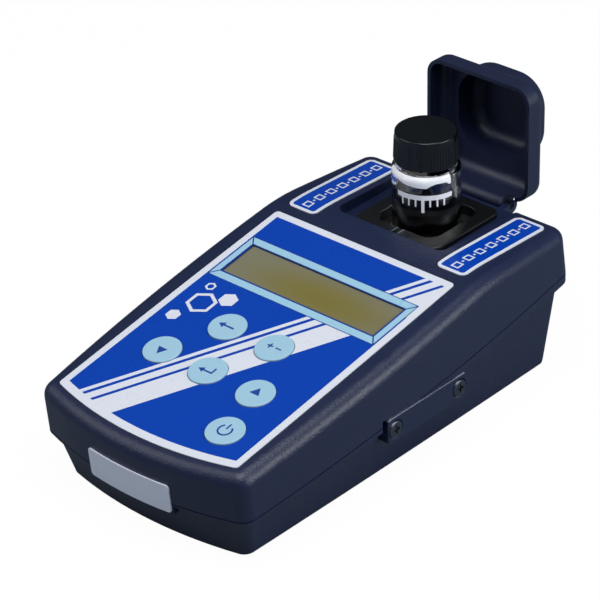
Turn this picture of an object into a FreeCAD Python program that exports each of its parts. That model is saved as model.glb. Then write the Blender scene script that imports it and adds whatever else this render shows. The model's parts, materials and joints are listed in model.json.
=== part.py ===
"""A digital colorimeter: a wedge-shaped plastic case with an inclined keypad, a measuring
chamber at the back under a hinged lid, and a capped glass vial standing on a sprung lifter.

X runs across the case, Y from the front to the back and Z up. The origin is on the resting
plane, under the middle of the outline with the lid open. Sizes are in millimetres.
"""
import FreeCAD, Part
import math
import os

import Sketcher
from FreeCAD import Placement, Rotation, Vector

DIMENSIONS = {
    # Walls and the planes that the two shells are built on
    "wall": 2.2,              # thickness of the moulded walls
    "floor": 2.4,             # thickness of the bottom
    "foot_gap": 0.8,          # how far the feet lift the bottom
    "base_front": -90.4,      # front of the bottom outline, on the middle line
    "base_rear": 69.5,
    "base_half": 40.4,
    "base_nose": 156.6,       # radius of the bottom outline's front arc
    "base_bow": 6000.0,       # radius of the bottom outline's sides
    "base_round": 4.5,
    "crease_front": -94.6,    # front of the crease where the lower wall meets the flare
    "crease_height": 14.3,
    "crease_tilt": 5.5,
    "crease_length": 168.1,
    "crease_half": 45.2,
    "crease_nose": 144.0,
    "crease_bow": 1300.0,
    "crease_round": 5.0,
    "rim_height": 17.2,       # height of the flare's upper edge at the front
    "seam_front": -97.4,      # front of the parting line
    "seam_height": 17.7,
    "seam_tilt": 6.4,
    "seam_length": 174.0,
    "seam_half": 49.1,
    "seam_nose": 146.5,
    "seam_bow": 916.0,
    "seam_middle": 88.0,      # where the case is widest, along the parting plane
    "seam_round": 6.0,
    "upper_reach": 52.0,      # how far the upper walls are drawn before the top is cut
    "upper_draft": 1.0,
    "seam_groove": 0.4,       # chamfer of the upper shell along the parting line
    "bottom_round": 1.3,      # rounding along the bottom edge
    "top_round": 4.8,         # fillet along the top edge
    # Inclined panel and the top behind it
    "panel_front": -88.0,
    "panel_height": 36.6,
    "panel_tilt": 9.52,
    "panel_end": 19.0,        # where the flat panel turns into the crest
    "crest_radius": 80.0,
    "rear_fall": 2.0,         # slope of the top behind the crest
    # Keypad overlay
    "overlay_half": 40.1,
    "overlay_length": 108.7,
    "overlay_nose": 141.5,
    "overlay_apex": 5.8,      # how far its curved front edge stands ahead of its corners
    "overlay_depth": 0.3,     # depth of its recess
    "overlay_thick": 0.5,
    "overlay_round": 1.5,
    "overlay_gap": 0.15,
    # Keys
    "key_radius": 6.7,
    "key_gap": 0.2,
    "key_thick": 2.2,
    "key_proud": 0.7,
    "key_travel": 0.5,
    "dome_radius": 4.0,
    "dome_height": 0.8,
    "board_thick": 1.6,
    # Display
    "display_half": 33.85,
    "display_start": 73.4,    # up the panel, from its front corners
    "display_length": 16.2,
    "window_thick": 1.2,
    "window_sunk": 0.4,
    "glass_margin": 3.0,
    "glass_thick": 2.0,
    "bezel_wall": 1.5,
    # Recess, collar and holder of the measuring chamber
    "vial_axis": 52.0,
    "recess_half": 24.2,
    "recess_front": 31.5,
    "recess_floor": 51.5,
    "recess_round": 4.0,
    "recess_plate": 2.2,
    "collar_half_x": 18.8,
    "collar_half_y": 17.8,
    "collar_round": 4.0,
    "collar_height": 1.9,
    "collar_opening": 13.2,
    "collar_opening_round": 5.0,
    "collar_skirt": 1.8,
    "collar_skirt_depth": 2.1,
    "collar_notch": 2.0,
    "holder_half_x": 17.0,
    "holder_half_y": 14.6,
    "holder_bottom": 0.8,
    "holder_bore": 12.3,
    "beam_height": 22.0,
    "beam_radius": 2.6,
    "filter_radius": 4.0,
    "filter_thick": 2.0,
    "sensor_radius": 3.5,
    "optic_board_half": 10.0,
    # Vial, cap and lifter
    "vial_radius": 12.0,
    "vial_wall": 1.2,
    "vial_bottom": 29.2,
    "vial_body": 44.0,
    "vial_shoulder": 1.8,
    "vial_bend": 2.2,         # rounding where the barrel turns into the shoulder
    "neck_radius": 9.2,
    "neck_length": 8.8,
    "liquid_level": 66.3,
    "cap_radius": 11.25,
    "cap_top_radius": 10.8,
    "cap_height": 10.8,
    "cap_top": 86.1,
    "cap_wall": 1.5,
    "lifter_thick": 2.0,
    "lifter_radius": 12.15,
    "spring_radius": 8.5,
    "spring_wire": 0.45,
    "spring_turns": 4.0,
    # Lid and hinge
    "hinge_y": 78.1,
    "hinge_z": 50.8,
    "hinge_open": 91.0,
    "barrel_radius": 3.0,
    "pin_radius": 1.2,
    "pin_gap": 0.05,
    "knuckle_half": 13.9,
    "ear_width": 2.4,
    "ear_gap": 0.3,
    "trough_wall": 1.6,       # wall of the trough behind the knuckle
    "lid_half": 22.7,
    "lid_lift": 1.0,          # rim above the hinge axis when the lid is shut
    "lid_front": 45.4,        # reach from the hinge axis to the lid's free end
    "lid_back": 1.6,
    "lid_height": 9.5,
    "lid_wall": 1.4,
    "lid_round": 6.2,
    "lid_edge": 4.5,
    "bump_half_x": 16.6,
    "bump_half_y": 16.0,
    "bump_height": 10.3,
    "bump_round": 12.0,
    "bump_edge": 5.0,
    # Labels, badge and side plate
    "strip_inner": 27.1,
    "strip_outer": 39.7,
    "strip_front": 23.9,
    "strip_rear": 68.3,
    "strip_round": 2.5,
    "skin": 0.25,             # thickness of the stuck-on labels
    "badge_half": 18.0,
    "badge_below": 3.3,       # how far the badge reaches below the parting line
    "badge_tall": 10.8,
    "badge_thick": 0.5,
    "plate_front": -26.1,
    "plate_length": 40.2,
    "plate_low": 17.35,
    "plate_tall": 9.4,
    "plate_face": 48.9,
    "plate_screw_inset": 3.8,
    "notch_back": 45.4,       # the flare is cut back to here behind the plate
    "notch_gap": 0.6,
    "notch_ahead": 3.0,       # how far the notch starts in front of the plate
    "notch_rise": 1.3,        # height of its ceiling over the plate, at its front end
    "notch_slope": 1.5,       # fall of that ceiling towards the rear
    "notch_wall": 1.6,        # backing behind the notch in the upper shell
    "plate_round": 0.35,      # rounding along the plate's face
    # Fasteners, boards and battery
    "pan_radius": 3.2,
    "pan_height": 1.1,
    "pan_sink": 0.7,          # depth of the plate's counterbores
    "shank_radius": 1.5,
    "thread_gap": 0.03,
    "plate_shank": 9.0,
    "case_screw_x": 35.0,
    "case_screw_front": -72.5,
    "case_screw_rear": 43.5,
    "case_boss": 5.0,
    "case_head": 2.9,
    "case_head_tall": 2.2,
    "case_grip": 8.0,         # lower boss left between the head's seat and the parting line
    "case_bite": 6.0,         # thread in the upper shell
    "board_half_x": 27.0,
    "board_front": -78.5,
    "board_length": 50.0,
    "board_post": 6.3,
    "board_post_radius": 3.0,
    "battery_half": 24.25,
    "battery_front": -20.5,
    "battery_width": 26.5,
    "battery_tall": 17.5,
    "bay_gap": 0.4,
    "bay_end": 1.8,
    "bay_wall": 1.5,
    "bay_tall": 13.0,
    "door_lap": 3.0,
    "door_gap": 0.3,
    "door_skin": 1.2,
    "foot_radius": 5.0,
    "foot_thick": 1.6,
    "foot_x": 29.0,
    "foot_front": -56.5,
    "foot_rear": 57.5,
}

KEYS = {
    # name: across the panel and up it, from the middle of its front corners
    "key_upper_left": (-10.8, 51.1),
    "key_upper_right": (10.1, 51.1),
    "key_lower_left": (-21.6, 30.7),
    "key_lower_middle": (-0.9, 30.6),
    "key_lower_right": (20.5, 30.3),
    "key_power": (24.6, 11.2),
}

DOC = FreeCAD.newDocument("Colorimeter")
SHEET = DOC.addObject("Spreadsheet::Sheet", "dim")
for row, (alias, number) in enumerate(DIMENSIONS.items(), start=1):
    SHEET.set(f"A{row}", alias)
    SHEET.set(f"B{row}", str(number))
    SHEET.setAlias(f"B{row}", alias)
for place_name, (across, up) in KEYS.items():
    for suffix, number in (("across", across), ("up", up)):
        row += 1
        SHEET.set(f"A{row}", f"{place_name}_{suffix}")
        SHEET.set(f"B{row}", str(number))
        SHEET.setAlias(f"B{row}", f"{place_name}_{suffix}")
DOC.recompute()

PARTS = {}


def num(expression):
    """The number that an expression of the sheet gives."""
    return float(SHEET.evalExpression(str(expression)))


def sine(name):
    return f"sin(dim.{name}*1deg)"


def cosine(name):
    return f"cos(dim.{name}*1deg)"


def place(obj, at, angle=None, axis=(1, 0, 0)):
    """Bind an object's place, and its turn about an axis, to the sheet."""
    turn = Rotation(Vector(*axis), num(angle)) if angle else Rotation()
    obj.Placement = Placement(Vector(*(num(value) for value in at)), turn)
    for letter, value in zip("xyz", at):
        obj.setExpression(f"Placement.Base.{letter}", str(value))
    if angle:
        obj.setExpression("Placement.Rotation.Angle", f"({angle})*1deg")
    return obj


def solid(kind, name, at, angle=None, axis=(1, 0, 0), **sizes):
    """A Part primitive whose sizes and place are bound to the sheet."""
    obj = DOC.addObject(f"Part::{kind}", name)
    for prop, value in sizes.items():
        obj.setExpression(prop, str(value))
    return place(obj, at, angle, axis)


def box(name, low, sizes, angle=None):
    """A box from its low corner and its lengths along X, Y and Z."""
    across, deep, tall = sizes
    return solid("Box", name, low, angle, Length=across, Width=deep, Height=tall)


def rod(name, at, radius, length, along="z", angle=None):
    """A cylinder along Z, X or Y from its first end."""
    if along == "x":
        return solid("Cylinder", name, at, "90", (0, 1, 0), Radius=radius, Height=length)
    if along == "y":
        return solid("Cylinder", name, at, "-90", (1, 0, 0), Radius=radius, Height=length)
    return solid("Cylinder", name, at, angle, Radius=radius, Height=length)


def fuse(name, shapes):
    """One solid from several."""
    obj = DOC.addObject("Part::MultiFuse", name)
    obj.Shapes = list(shapes)
    return obj


def cut(name, base, tools):
    """A solid less the tools."""
    tools = list(tools)
    obj = DOC.addObject("Part::Cut", name)
    obj.Base = base
    obj.Tool = tools[0] if len(tools) == 1 else fuse(f"{name}_tools", tools)
    return obj


def common(name, first, second):
    """What two solids share."""
    obj = DOC.addObject("Part::Common", name)
    obj.Base, obj.Tool = first, second
    return obj


def part(node, obj):
    """Name a finished piece after its node."""
    obj.Label = node
    PARTS[node] = obj
    return obj


def group(node, pieces):
    """Several separate solids that share one node."""
    obj = DOC.addObject("Part::Compound", f"{node}_set")
    obj.Links = list(pieces)
    return part(node, obj)


def on_panel(across, up, out):
    """Place on the inclined panel: across it, up it and out of it."""
    return (
        across,
        f"dim.panel_front + ({up})*{cosine('panel_tilt')} - ({out})*{sine('panel_tilt')}",
        f"dim.panel_height + ({up})*{sine('panel_tilt')} + ({out})*{cosine('panel_tilt')}",
    )


def seam_z(along):
    """Height of the parting plane at a place along Y."""
    return f"(dim.seam_height + ({along} - dim.seam_front)*tan(dim.seam_tilt*1deg))"


# Sketches of the case's outline

def bind(sketch, constraint, expression):
    """Add a dimension to a sketch and bind it to the sheet."""
    index = sketch.addConstraint(constraint)
    sketch.setExpression(f"Constraints[{index}]", str(expression))


def arc(centre, radius, start, end):
    """Counter-clockwise arc between two points of a circle."""
    first = math.atan2(start[1] - centre[1], start[0] - centre[0])
    last = math.atan2(end[1] - centre[1], end[0] - centre[0])
    if last < first:
        last += 2 * math.pi
    circle = Part.Circle(Vector(centre[0], centre[1], 0), Vector(0, 0, 1), radius)
    return Part.ArcOfCircle(circle, first, last)


def toward(centre, through, radius):
    """The point at a radius from a centre, towards another point."""
    reach = math.dist(centre, through)
    return tuple(c + (t - c) * radius / reach for c, t in zip(centre, through))


def outline(body, name, at, angle, nose, bow, half, front, rear, middle, corner):
    """Closed outline with a curved front, bowed sides, a straight rear and round corners."""
    sketch = body.newObject("Sketcher::SketchObject", name)
    plane = next(f for f in body.Origin.OriginFeatures if f.Role == "XY_Plane")
    sketch.AttachmentSupport = (plane, "")
    sketch.MapMode = "FlatFace"
    turn = Rotation(Vector(1, 0, 0), num(angle)) if angle else Rotation()
    sketch.AttachmentOffset = Placement(Vector(*(num(value) for value in at)), turn)
    for letter, value in zip("xyz", at):
        sketch.setExpression(f"AttachmentOffset.Base.{letter}", str(value))
    if angle:
        sketch.setExpression("AttachmentOffset.Rotation.Angle", f"({angle})*1deg")
    r_nose, r_bow, x_half, y_front, y_rear, y_middle, r_corner = (
        num(value) for value in (nose, bow, half, front, rear, middle, corner))
    nose_c = (0.0, y_front + r_nose)
    side_c = (x_half - r_bow, y_middle)
    # The front corner's centre lies on both inset arcs.
    a, b = r_nose - r_corner, r_bow - r_corner
    gap = math.dist(nose_c, side_c)
    along = (a * a - b * b + gap * gap) / (2 * gap)
    off = math.sqrt(a * a - along * along)
    ux, uy = (side_c[0] - nose_c[0]) / gap, (side_c[1] - nose_c[1]) / gap
    front_c = max(((nose_c[0] + along * ux - s * off * uy, nose_c[1] + along * uy + s * off * ux)
                   for s in (-1, 1)), key=lambda p: -p[1])
    rear_y = y_rear - r_corner
    rear_c = (side_c[0] + math.sqrt(b * b - (rear_y - side_c[1]) ** 2), rear_y)
    p1, p2 = toward(nose_c, front_c, r_nose), toward(side_c, front_c, r_bow)
    p3, p4 = toward(side_c, rear_c, r_bow), (rear_c[0], y_rear)

    def flip(point):
        return (-point[0], point[1])

    edges = [
        arc(nose_c, r_nose, flip(p1), p1),
        arc(front_c, r_corner, p1, p2),
        arc(side_c, r_bow, p2, p3),
        arc(rear_c, r_corner, p3, p4),
        Part.LineSegment(Vector(*p4, 0), Vector(*flip(p4), 0)),
        arc(flip(rear_c), r_corner, flip(p4), flip(p3)),
        arc(flip(side_c), r_bow, flip(p3), flip(p2)),
        arc(flip(front_c), r_corner, flip(p2), flip(p1)),
    ]
    sketch.addGeometry(edges, False)
    for index in range(8):
        sketch.addConstraint(Sketcher.Constraint("Tangent", index, 2, (index + 1) % 8, 1))
    sketch.addConstraint(Sketcher.Constraint("Horizontal", 4))
    sketch.addConstraint(Sketcher.Constraint("PointOnObject", 0, 3, -2))
    sketch.addConstraint(Sketcher.Constraint("Symmetric", 2, 3, 6, 3, -2))
    for first, second in ((1, 7), (3, 5), (2, 6)):
        sketch.addConstraint(Sketcher.Constraint("Equal", first, second))
    for index, value, text in ((0, r_nose, nose), (2, r_bow, bow), (1, r_corner, corner), (3, r_corner, corner)):
        bind(sketch, Sketcher.Constraint("Radius", index, value), text)
    bind(sketch, Sketcher.Constraint("DistanceY", -1, 1, 0, 3, nose_c[1]), f"({front}) + ({nose})")
    bind(sketch, Sketcher.Constraint("DistanceX", 2, 3, -1, 1, -side_c[0]), f"({bow}) - ({half})")
    bind(sketch, Sketcher.Constraint("DistanceY", -1, 1, 2, 3, y_middle), middle)
    bind(sketch, Sketcher.Constraint("DistanceY", -1, 1, 4, 1, y_rear), rear)
    return sketch


def loft(body, name, sketches):
    """Straight-walled loft through outlines."""
    feature = body.newObject("PartDesign::AdditiveLoft", name)
    feature.Profile = sketches[0]
    feature.Sections = sketches[1:]
    feature.Ruled = True
    for sketch in sketches:
        sketch.Visibility = False
    return feature


def seam_outline(body, name, inset, lift="0", extra="0"):
    """Outline of the case at the parting plane, or above it."""
    at = ("0", f"dim.seam_front - ({lift})*{sine('seam_tilt')}",
          f"dim.seam_height + ({lift})*{cosine('seam_tilt')}")
    shrink = f"({inset}) + ({extra})"
    return outline(body, name, at, "dim.seam_tilt", f"dim.seam_nose - ({shrink})",
                   f"dim.seam_bow - ({shrink})", f"dim.seam_half - ({shrink})", shrink,
                   f"dim.seam_length - ({shrink})", "dim.seam_middle", f"dim.seam_round - ({shrink})")


def lower_form(name, inset, bottom, overlap, rounding=None):
    """Solid outer form of the lower shell, or its cavity when inset; its bottom edge may be rounded."""
    body = DOC.addObject("PartDesign::Body", name)
    steps = [("0", "0")]
    if rounding:
        steps = [(f"({rounding})*{aside}", f"({rounding})*{rise}") for aside, rise in ((1, 0), (0.5, 0.134), (0.134, 0.5), (0, 1))]
    bases = []
    for index, (aside, rise) in enumerate(steps):
        shrink = f"({inset}) + ({aside})"
        bases.append(outline(body, f"{name}_base_{index}", ("0", "0", f"({bottom}) + ({rise})"), None,
                             f"dim.base_nose - ({shrink})", f"dim.base_bow - ({shrink})",
                             f"dim.base_half - ({shrink})", f"dim.base_front + ({shrink})",
                             f"dim.base_rear - ({shrink})", "(dim.base_front + dim.base_rear)/2",
                             f"dim.base_round - ({shrink})"))
    crease = outline(body, f"{name}_crease", ("0", "dim.crease_front", "dim.crease_height"), "dim.crease_tilt",
                     f"dim.crease_nose - ({inset})", f"dim.crease_bow - ({inset})",
                     f"dim.crease_half - ({inset})", inset, f"dim.crease_length - ({inset})",
                     "dim.crease_length/2", f"dim.crease_round - ({inset})")
    stretch = f"{cosine('seam_tilt')}/{cosine('crease_tilt')}"
    rim = outline(body, f"{name}_rim", ("0", "dim.seam_front", "dim.rim_height"), "dim.crease_tilt",
                  f"dim.seam_nose - ({inset})", f"dim.seam_bow - ({inset})", f"dim.seam_half - ({inset})",
                  inset, f"dim.seam_length*{stretch} - ({inset})", "dim.seam_middle",
                  f"dim.seam_round - ({inset})")
    seam = seam_outline(body, f"{name}_seam", inset, overlap)
    loft(body, f"{name}_walls", bases + [crease, rim, seam])
    return body


def top_cut(body, name, inset):
    """Pocket that leaves the inclined panel, the crest and the top behind it."""
    sketch = body.newObject("Sketcher::SketchObject", name)
    plane = next(f for f in body.Origin.OriginFeatures if f.Role == "YZ_Plane")
    sketch.AttachmentSupport = (plane, "")
    sketch.MapMode = "FlatFace"
    tilt, fall = math.radians(num("dim.panel_tilt")), math.radians(num("dim.rear_fall"))
    radius = num(f"dim.crest_radius - ({inset})")
    start_y = num(f"dim.panel_end + ({inset})*{sine('panel_tilt')}")
    start_z = num(f"dim.panel_height + (dim.panel_end - dim.panel_front)*tan(dim.panel_tilt*1deg)"
                  f" - ({inset})*{cosine('panel_tilt')}")
    near, far, ceiling = num("dim.seam_front*1.3"), num("dim.hinge_y*1.3"), num("dim.cap_top*1.3")
    centre = (start_y + radius * math.sin(tilt), start_z - radius * math.cos(tilt))
    crest_end = (centre[0] + radius * math.sin(fall), centre[1] + radius * math.cos(fall))
    front = (near, start_z - (start_y - near) * math.tan(tilt))
    back = (far, crest_end[1] - (far - crest_end[0]) * math.tan(fall))

    def line(first, second):
        return Part.LineSegment(Vector(*first, 0), Vector(*second, 0))

    sketch.addGeometry([
        line(front, (start_y, start_z)),
        arc(centre, radius, crest_end, (start_y, start_z)),
        line(crest_end, back),
        line(back, (far, ceiling)),
        line((far, ceiling), (near, ceiling)),
        line((near, ceiling), front),
    ], False)
    sketch.addConstraint([
        Sketcher.Constraint("Tangent", 0, 2, 1, 2),
        Sketcher.Constraint("Tangent", 1, 1, 2, 1),
        Sketcher.Constraint("Coincident", 2, 2, 3, 1),
        Sketcher.Constraint("Coincident", 3, 2, 4, 1),
        Sketcher.Constraint("Coincident", 4, 2, 5, 1),
        Sketcher.Constraint("Coincident", 5, 2, 0, 1),
        Sketcher.Constraint("Vertical", 3),
        Sketcher.Constraint("Horizontal", 4),
        Sketcher.Constraint("Vertical", 5),
    ])
    bind(sketch, Sketcher.Constraint("Radius", 1, radius), f"dim.crest_radius - ({inset})")
    bind(sketch, Sketcher.Constraint("DistanceX", -1, 1, 0, 2, start_y),
         f"dim.panel_end + ({inset})*{sine('panel_tilt')}")
    bind(sketch, Sketcher.Constraint("DistanceY", -1, 1, 0, 2, start_z),
         f"dim.panel_height + (dim.panel_end - dim.panel_front)*tan(dim.panel_tilt*1deg)"
         f" - ({inset})*{cosine('panel_tilt')}")
    bind(sketch, Sketcher.Constraint("DistanceX", 1, 3, 0, 2, start_y - centre[0]),
         f"-(dim.crest_radius - ({inset}))*{sine('panel_tilt')}")
    bind(sketch, Sketcher.Constraint("DistanceX", 1, 3, 2, 1, crest_end[0] - centre[0]),
         f"(dim.crest_radius - ({inset}))*{sine('rear_fall')}")
    bind(sketch, Sketcher.Constraint("DistanceX", 0, 1, -1, 1, -near), "-dim.seam_front*1.3")
    bind(sketch, Sketcher.Constraint("DistanceX", -1, 1, 3, 1, far), "dim.hinge_y*1.3")
    bind(sketch, Sketcher.Constraint("DistanceY", -1, 1, 4, 1, ceiling), "dim.cap_top*1.3")
    pocket = body.newObject("PartDesign::Pocket", f"{name}_pocket")
    pocket.Profile = sketch
    pocket.Type = "ThroughAll"
    if hasattr(pocket, "SideType"):
        pocket.SideType = "Symmetric"
    else:
        pocket.Midplane = True
    sketch.Visibility = False
    return pocket


def rim_edges(shape):
    """Names of the edges where the walls meet the top."""
    tops = [f for f in shape.Faces if f.normalAt(*middle_of(f)).z > math.cos(math.radians(20))]
    names = []
    for index, edge in enumerate(shape.Edges, start=1):
        owners = sum(any(edge.isSame(other) for other in face.Edges) for face in tops)
        if owners == 1:
            names.append(f"Edge{index}")
    return names


def middle_of(face):
    """Parameters of the middle of a face."""
    u0, u1, v0, v1 = face.ParameterRange
    return (u0 + u1) / 2, (v0 + v1) / 2


def upper_form(name, inset, start="0", groove=None):
    """Solid outer form of the upper shell from a height over the parting line, or its cavity when inset.

    With a groove, the form's foot is chamfered by that much.
    """
    body = DOC.addObject("PartDesign::Body", name)
    lows = []
    if groove:
        lows.append(seam_outline(body, f"{name}_foot", f"({inset}) + ({groove})", start))
        start = f"({start}) + ({groove})"
    lows.append(seam_outline(body, f"{name}_low", inset, start, f"({start})*tan(dim.upper_draft*1deg)"))
    high = seam_outline(body, f"{name}_high", inset, "dim.upper_reach",
                        "dim.upper_reach*tan(dim.upper_draft*1deg)")
    loft(body, f"{name}_walls", lows + [high])
    pocket = top_cut(body, f"{name}_top", inset)
    DOC.recompute()
    fillet = body.newObject("PartDesign::Fillet", f"{name}_round")
    fillet.Base = (pocket, rim_edges(pocket.Shape))
    fillet.setExpression("Radius", f"dim.top_round - ({inset})")
    return body


def rounded_prism(name, at, half_x, half_y, tall, corner):
    """Upright box with round corners, centred on its place."""
    block = box(f"{name}_block", (f"{at[0]} - ({half_x})", f"{at[1]} - ({half_y})", at[2]),
                (f"2*({half_x})", f"2*({half_y})", tall))
    DOC.recompute()
    return fillet_edges(name, block, corner, lambda e: abs(e.tangentAt(e.FirstParameter).z) > 0.99)


def fillet_edges(name, base, radius, choose):
    """Fillet the edges of a solid that a test picks."""
    DOC.recompute()
    fillet = DOC.addObject("Part::Fillet", name)
    fillet.Base = base
    size = num(radius)
    fillet.Edges = [(index, size, size) for index, edge in enumerate(base.Shape.Edges, start=1) if choose(edge)]
    return fillet


# Case

UPPER = upper_form("upper_form", "0", groove="dim.seam_groove")
UPPER_CAVITY = upper_form("upper_cavity", "dim.wall", "-0.5")
UPPER_LONG = upper_form("upper_long", "0", "-dim.badge_below - 1")
LOWER = lower_form("lower_form", "0", "dim.foot_gap", "0", "dim.bottom_round")
LOWER_CAVITY = lower_form("lower_cavity", "dim.wall", "dim.foot_gap + dim.floor", "0.5")
DOC.recompute()

CASE_SCREWS = [(side, y) for y in ("dim.case_screw_front", "dim.case_screw_rear") for side in (-1, 1)]
CHAMBER = ("0", "dim.vial_axis")


def overlay_body(name, grow, low, high):
    """The keypad overlay's outline, between two heights over the panel."""
    body = DOC.addObject("PartDesign::Body", name)
    sketch = outline(body, f"{name}_outline", on_panel("0", "0", low), "dim.panel_tilt",
                     f"dim.overlay_nose + ({grow})", "6000", f"dim.overlay_half + ({grow})",
                     f"-dim.overlay_apex - ({grow})", f"dim.overlay_length + ({grow})",
                     "dim.overlay_length/2", f"dim.overlay_round + ({grow})")
    pad = body.newObject("PartDesign::Pad", f"{name}_pad")
    pad.Profile = sketch
    pad.setExpression("Length", f"({high}) - ({low})")
    sketch.Visibility = False
    return body


def display_box(name, margin, low, high):
    """A block behind the display's opening."""
    return box(name, on_panel(f"-dim.display_half - ({margin})", f"dim.display_start - ({margin})", low),
               (f"2*(dim.display_half + ({margin}))", f"dim.display_length + 2*({margin})", f"({high}) - ({low})"),
               "dim.panel_tilt")


def key_rod(name, key, radius, low, high):
    """A round piece on a key's axis, between two heights over the panel."""
    return rod(name, on_panel(f"dim.{key}_across", f"dim.{key}_up", low), radius, f"({high}) - ({low})",
               angle="dim.panel_tilt")


def upper_shell():
    """Upper half of the case: panel, top, recess of the chamber, hinge ears and screw pillars."""
    walls = cut("upper_walls", UPPER, [UPPER_CAVITY])
    plate = box("recess_plate_block", ("-dim.recess_half - dim.wall", "dim.recess_front - dim.wall",
                                       "dim.recess_floor - dim.recess_plate"),
                ("2*(dim.recess_half + dim.wall)", "dim.hinge_y - dim.recess_front", "dim.recess_plate"))
    curb = box("recess_curb_block", ("-dim.recess_half - dim.wall", "dim.recess_front - dim.wall", "dim.recess_floor - 0.1"),
               ("2*(dim.recess_half + dim.wall)", "dim.hinge_y - dim.recess_front", "10"))
    pillars = [rod(f"pillar_{i}", (f"{side}*dim.case_screw_x", y, seam_z(y) + " - 5"), "dim.case_boss - 0.8", "60")
               for i, (side, y) in enumerate(CASE_SCREWS)]
    trough = box("trough_block", ("-dim.knuckle_half - dim.ear_gap - dim.ear_width",
                                  "dim.hinge_y - dim.barrel_radius - dim.ear_gap - dim.trough_wall",
                                  "dim.hinge_z - dim.barrel_radius - dim.ear_gap - dim.trough_wall"),
                 ("2*(dim.knuckle_half + dim.ear_gap + dim.ear_width)", "12",
                  "dim.recess_floor - dim.hinge_z + dim.barrel_radius + dim.ear_gap + dim.trough_wall"))
    backing = notch_backing("upper_backing", "dim.plate_low + dim.plate_tall - 3")
    inner = common("upper_inner", UPPER, fuse("upper_inner_blocks", [plate, curb, trough, backing] + pillars))
    ears = []
    for side in (-1, 1):
        x = "dim.knuckle_half + dim.ear_gap" if side > 0 else "-dim.knuckle_half - dim.ear_gap - dim.ear_width"
        ears.append(rod(f"ear_{side}", (x, "dim.hinge_y", "dim.hinge_z"), "dim.barrel_radius", "dim.ear_width", "x"))
        ears.append(box(f"ear_root_{side}", (x, "dim.hinge_y - 6.5", "dim.hinge_z - dim.barrel_radius"),
                        ("dim.ear_width", "6.5", "dim.barrel_radius + 0.6")))
    whole = fuse("upper_whole", [walls, inner] + ears)
    recess = rounded_prism("recess_hole", ("0", "(dim.recess_front + dim.hinge_y + 12)/2", "dim.recess_floor"),
                           "dim.recess_half", "(dim.hinge_y + 12 - dim.recess_front)/2", "20", "dim.recess_round")
    floor_hole = rounded_prism("floor_hole", (*CHAMBER, "dim.recess_floor - 6"),
                               "dim.collar_opening + dim.collar_skirt + 0.15",
                               "dim.collar_opening + dim.collar_skirt + 0.15", "8",
                               "dim.collar_opening_round + dim.collar_skirt + 0.15")
    knuckle_room = rod("knuckle_room", ("-dim.knuckle_half - dim.ear_gap", "dim.hinge_y", "dim.hinge_z"),
                       "dim.barrel_radius + dim.ear_gap", "2*(dim.knuckle_half + dim.ear_gap)", "x")
    holes = [recess, floor_hole, knuckle_room, notch("upper_notch"),
             overlay_body("overlay_recess", "dim.overlay_gap", "-dim.overlay_depth", "5"),
             display_box("display_hole", "0.1", "-8", "2"),
             rod("pin_hole", ("-dim.lid_half - 5", "dim.hinge_y", "dim.hinge_z"), "dim.pin_radius + 0.02",
                 "2*dim.lid_half + 10", "x")]
    holes += [key_rod(f"{key}_hole", key, "dim.key_radius + dim.key_gap", "-6", "2") for key in KEYS]
    holes += [rod(f"pilot_{i}", (f"{side}*dim.case_screw_x", y, seam_z(y) + " - 5"),
                  "dim.shank_radius + dim.thread_gap", "dim.case_bite + 5.5")
              for i, (side, y) in enumerate(CASE_SCREWS)]
    return part("upper_shell", cut("upper_body", whole, holes))


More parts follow.
